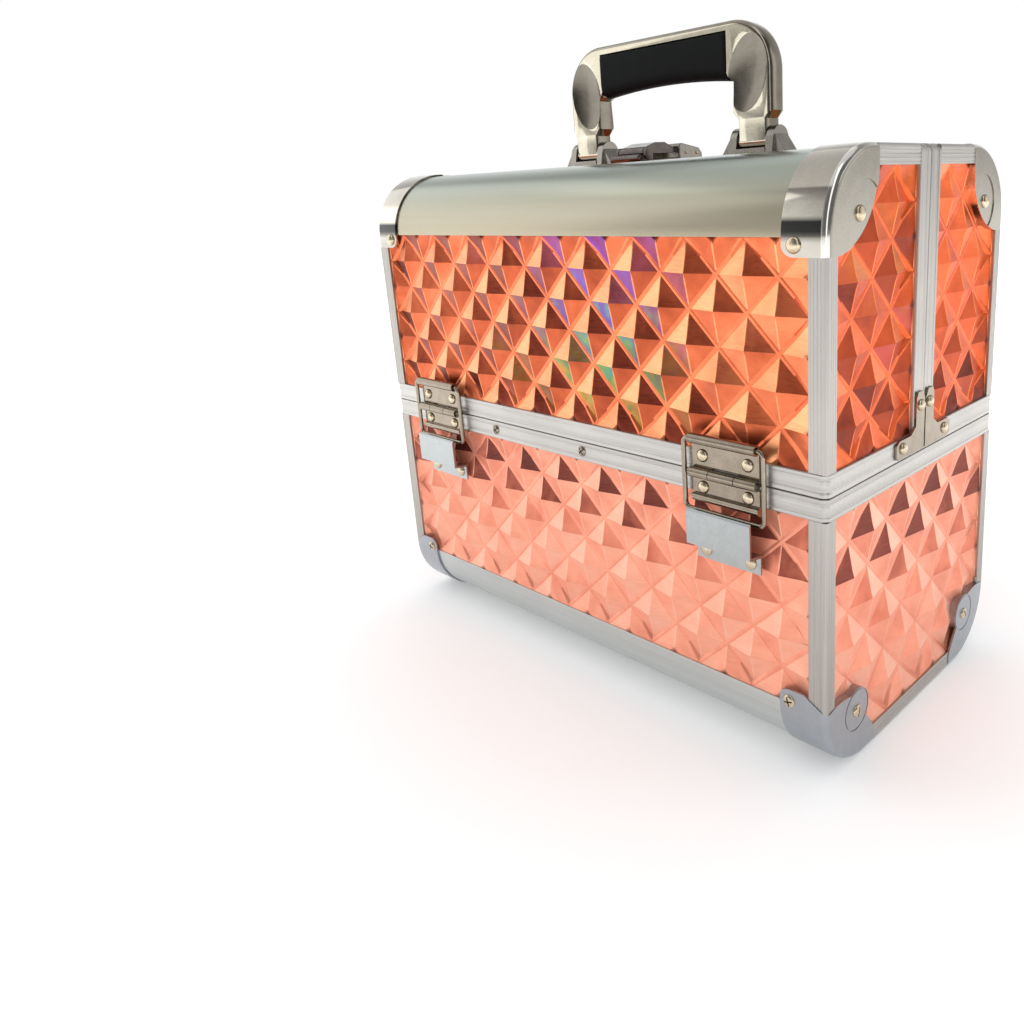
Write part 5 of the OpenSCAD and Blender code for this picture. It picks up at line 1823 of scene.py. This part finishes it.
@dataclass
class Latch:
    """Lever latch over the split with its catch box; heights are over the top of the case."""

    finishes: Finishes
    carried: Carried
    nose: Point2 = (-25.4, 3.0)
    nose_radius: float = 2.2
    nose_half: float = 11.0
    rivet_x: float = 12.45
    rivet_y: Point2 = (12.0, 21.5)
    rivet_z: float = 6.1

    def make(self) -> None:
        """Builds the lever, its plate, the catch box and their rivets."""
        f, top = self.finishes, SIZES.height
        self.carried.make("latch_base", f.dark_steel, "plated_steel", bevel=0.4)
        self.carried.make("latch_lever", f.dark_steel, "plated_steel", bevel=0.6, segments=3)
        self.carried.make("latch_box", f.cast, "cast_bracket", bevel=0.7, segments=3)
        y, z = self.nose
        nose = tube([(x, y, top + z) for x in (-self.nose_half, -10.2, 10.2, self.nose_half)],
                    self.nose_radius, 20)
        nose.build("latch_nose", [f.dark_steel], "front_lid", "plated_steel", bevel=0.7,
                   segments=3, smooth=40.0)
        rivets, head = Draft(), fastener(Head.DOME, 0.95, 0.7)
        for y in self.rivet_y:
            rivets.join(head.moved(facing((self.rivet_x, y, top + self.rivet_z), (1, 0, 0))))
        set_small(rivets.spread(Mirror.ENDS), "latch_box_rivets", [f.rivet], "back_lid")


@dataclass
class Shell:
    """Lined boards of the base and lids."""

    finishes: Finishes
    carried: Carried

    def make(self) -> None:
        """Builds the boards."""
        for body in ("base", "front_lid", "back_lid"):
            self.carried.make(f"{body}_boards", self.finishes.lining, "lined_board", bevel=0.4)


@dataclass
class TrayStack:
    """Cantilever trays with their straps and rivets."""

    finishes: Finishes
    carried: Carried

    def make(self) -> None:
        """Builds the trays, straps and rivets of both sides."""
        f, make = self.finishes, self.carried.make
        make("base_rivets", f.rivet, "rivet", bevel=0.2, smooth=35.0)
        for side in ("front", "back"):
            for level in ("low", "mid", "top"):
                make(f"{side}_{level}_tray", f.tray, "tray_plastic", bevel=0.4, smooth=35.0)
                make(f"{side}_{level}_rivets", f.rivet, "rivet", bevel=0.2, smooth=35.0)
            for letter in "abcd":
                make(f"{side}_strap_{letter}", f.strap, "strap_steel", bevel=0.25, smooth=35.0)


# Studio


@dataclass(frozen=True)
class Camera:
    """Camera that stands where the photograph was taken, in millimetres and degrees."""

    place: Point3 = (355.4, -383.3, 277.1)
    yaw: float = 42.36
    pitch: float = -14.78
    roll: float = -2.47
    lens: float = 29.7
    shift: Point2 = (-0.1595, -0.0972)

    def make(self) -> None:
        """Creates the camera and makes it the scene's."""
        yaw, pitch, roll = (math.radians(a) for a in (self.yaw, self.pitch, self.roll))
        level = math.cos(pitch)
        ahead = Vector((-math.sin(yaw) * level, math.cos(yaw) * level, math.sin(pitch)))
        right = Vector((math.cos(yaw), math.sin(yaw), 0.0))
        up = right.cross(ahead)
        tilted = right * math.cos(roll) + up * math.sin(roll)
        raised = up * math.cos(roll) - right * math.sin(roll)
        data = bpy.data.cameras.new("portrait_camera")
        data.lens, data.sensor_width = self.lens, 36.0
        data.shift_x, data.shift_y = self.shift
        data.clip_start, data.clip_end = 0.02, 60.0
        eye = placed("portrait_camera", data)
        eye.matrix_world = axes(tilted, raised, -ahead, Vector(self.place) * MM)
        bpy.context.scene.camera = eye


@dataclass(frozen=True)
class Softbox:
    """A square area light in metres and watts."""

    name: str
    place: Point3
    size: float
    power: float
    target: Point3 = (0.0, 0.0, 0.15)

    def make(self) -> None:
        """Hangs the light and aims it at the case."""
        data = bpy.data.lights.new(self.name, "AREA")
        data.shape, data.size, data.energy = "SQUARE", self.size, self.power
        aim = Vector(self.place) - Vector(self.target)
        placed(self.name, data).matrix_world = facing(self.place, aim)


@dataclass
class Studio:
    """Pale floor, softboxes, and surroundings that darken overhead and hold one bright window.

    The surroundings light the case evenly. Their gradient and window show only in reflections.
    """

    floor_colour: Colour = (0.86, 0.86, 0.865)
    floor_half: float = 12.0
    left_level: float = 0.85
    back_level: float = 0.8
    overhead_level: float = -0.62
    base_level: float = 0.2
    even_level: float = 0.95
    window_level: float = 1.9
    window_edge: Point2 = (0.06, 0.2)
    window_across: Point2 = (0.74, 0.67)
    lights: tuple[Softbox, ...] = (
        Softbox("overhead_softbox", (-0.35, 0.1, 1.9), 2.2, 9.0),
        Softbox("left_softbox", (-1.9, -0.7, 1.1), 2.0, 10.0),
        Softbox("right_softbox", (1.6, 0.9, 0.9), 1.4, 4.0),
    )

    @staticmethod
    def rise(tree: Tree, value: Plug, low: float, high: float, start: float = 0.0) -> Plug:
        """Gives a soft step between two values, from a start to 1."""
        return add_node(tree, "MapRange", _interpolation_type="SMOOTHSTEP", Value=value,
                        From_Min=low, From_Max=high, To_Min=start).outputs[0]

    def gradient(self, tree: Tree) -> Plug:
        """Gives the brightness that reflections see, from the direction of the ray."""
        place = add_node(tree, "TexCoord").outputs["Generated"]
        x, y, z = add_node(tree, "SeparateXYZ", Vector=place).outputs
        to_left = self.rise(tree, maths(tree, "MULTIPLY", x, -1.0), 0.0, 0.8)
        left = maths(tree, "MULTIPLY", to_left, self.left_level)
        back = maths(tree, "MULTIPLY", self.rise(tree, y, 0.2, 0.9), self.back_level)
        low = maths(tree, "MULTIPLY_ADD", self.rise(tree, z, 0.3, 0.8), self.overhead_level, 1.0)
        level = maths(tree, "MULTIPLY_ADD", maths(tree, "ADD", left, back), low, self.base_level)
        long, short = self.window_across
        aside = maths(tree, "MULTIPLY_ADD", x, long, maths(tree, "MULTIPLY", y, short))
        ahead = maths(tree, "MULTIPLY_ADD", x, short, maths(tree, "MULTIPLY", y, -long))
        outside = self.rise(tree, maths(tree, "ABSOLUTE", aside), *self.window_edge)
        window = maths(tree, "MULTIPLY", maths(tree, "SUBTRACT", 1.0, outside),
                       maths(tree, "GREATER_THAN", ahead, 0.0))
        return maths(tree, "MULTIPLY_ADD", window, self.window_level, level)

    def surroundings(self) -> None:
        """Gives the world its plain backdrop, its even light and what the metal reflects."""
        world = bpy.data.worlds.new("pale_surroundings")
        world.use_nodes = True
        tree = world.node_tree
        tree.nodes.clear()
        rays = add_node(tree, "LightPath").outputs
        diffuse = rays["Is Diffuse Ray"]
        level = maths(tree, "MULTIPLY", self.gradient(tree), maths(tree, "SUBTRACT", 1.0, diffuse))
        even = maths(tree, "MULTIPLY", diffuse, self.even_level)
        glow = add_node(tree, "Background", Strength=maths(tree, "ADD", level, even))
        plain = add_node(tree, "Background", Color=(1.0, 1.0, 1.0))
        mix = add_node(tree, "MixShader")
        for value, slot in zip((rays["Is Camera Ray"], glow.outputs[0], plain.outputs[0]),
                               mix.inputs):
            feed(tree, value, slot)
        add_node(tree, "OutputWorld", Surface=mix.outputs[0])
        bpy.context.scene.world = world

    def floor(self) -> None:
        """Lays the floor, which glows a little more away from the case."""
        half = self.floor_half
        mesh = bpy.data.meshes.new("studio_floor")
        mesh.from_pydata([(-half, -half, 0), (half, -half, 0), (half, half, 0), (-half, half, 0)],
                         [], [(0, 1, 2, 3)])
        material, tree, shader = Finish.start("pale_floor", Roughness=0.6,
                                              Emission_Color=(1.0, 1.0, 1.0))
        cloud = add_node(tree, "TexNoise", Scale=1.2, Detail=2.0).outputs[0]
        darker = tuple(c * 0.985 for c in self.floor_colour)
        feed(tree, blend(tree, cloud, darker, self.floor_colour), shader.inputs["Base Color"])
        away = add_node(tree, "VectorMath", _operation="LENGTH", Vector=own_place(tree))
        glow = self.rise(tree, away.outputs["Value"], 0.15, 0.8, 0.22)
        feed(tree, glow, shader.inputs["Emission Strength"])
        mesh.materials.append(material)
        floor = placed("studio_floor", mesh)

    def make(self) -> None:
        """Builds the studio."""
        bpy.context.scene.view_settings.view_transform = "Standard"
        self.surroundings()
        self.floor()
        for light in self.lights:
            light.make()


def main() -> None:
    """Builds the case piece by piece, then the studio."""
    logging.basicConfig(level=logging.INFO, format="%(name)s: %(message)s")
    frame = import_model()
    finishes = Finishes(EffectShelf())
    carried = Carried(frame["nodes"])
    Camera().make()
    assemblies = (Shell(finishes, carried), FoilSheets(finishes), QuarterRounds(finishes),
                  Frame(finishes), CornerCaps(finishes), SplitBrackets(finishes, carried),
                  StayHinges(finishes, carried), TrayStack(finishes, carried),
                  Handle(finishes, carried), Latch(finishes, carried))
    for assembly in assemblies:
        log.info("building %s", type(assembly).__name__)
        assembly.make()
    Studio().make()


if __name__ == "__main__":
    main()
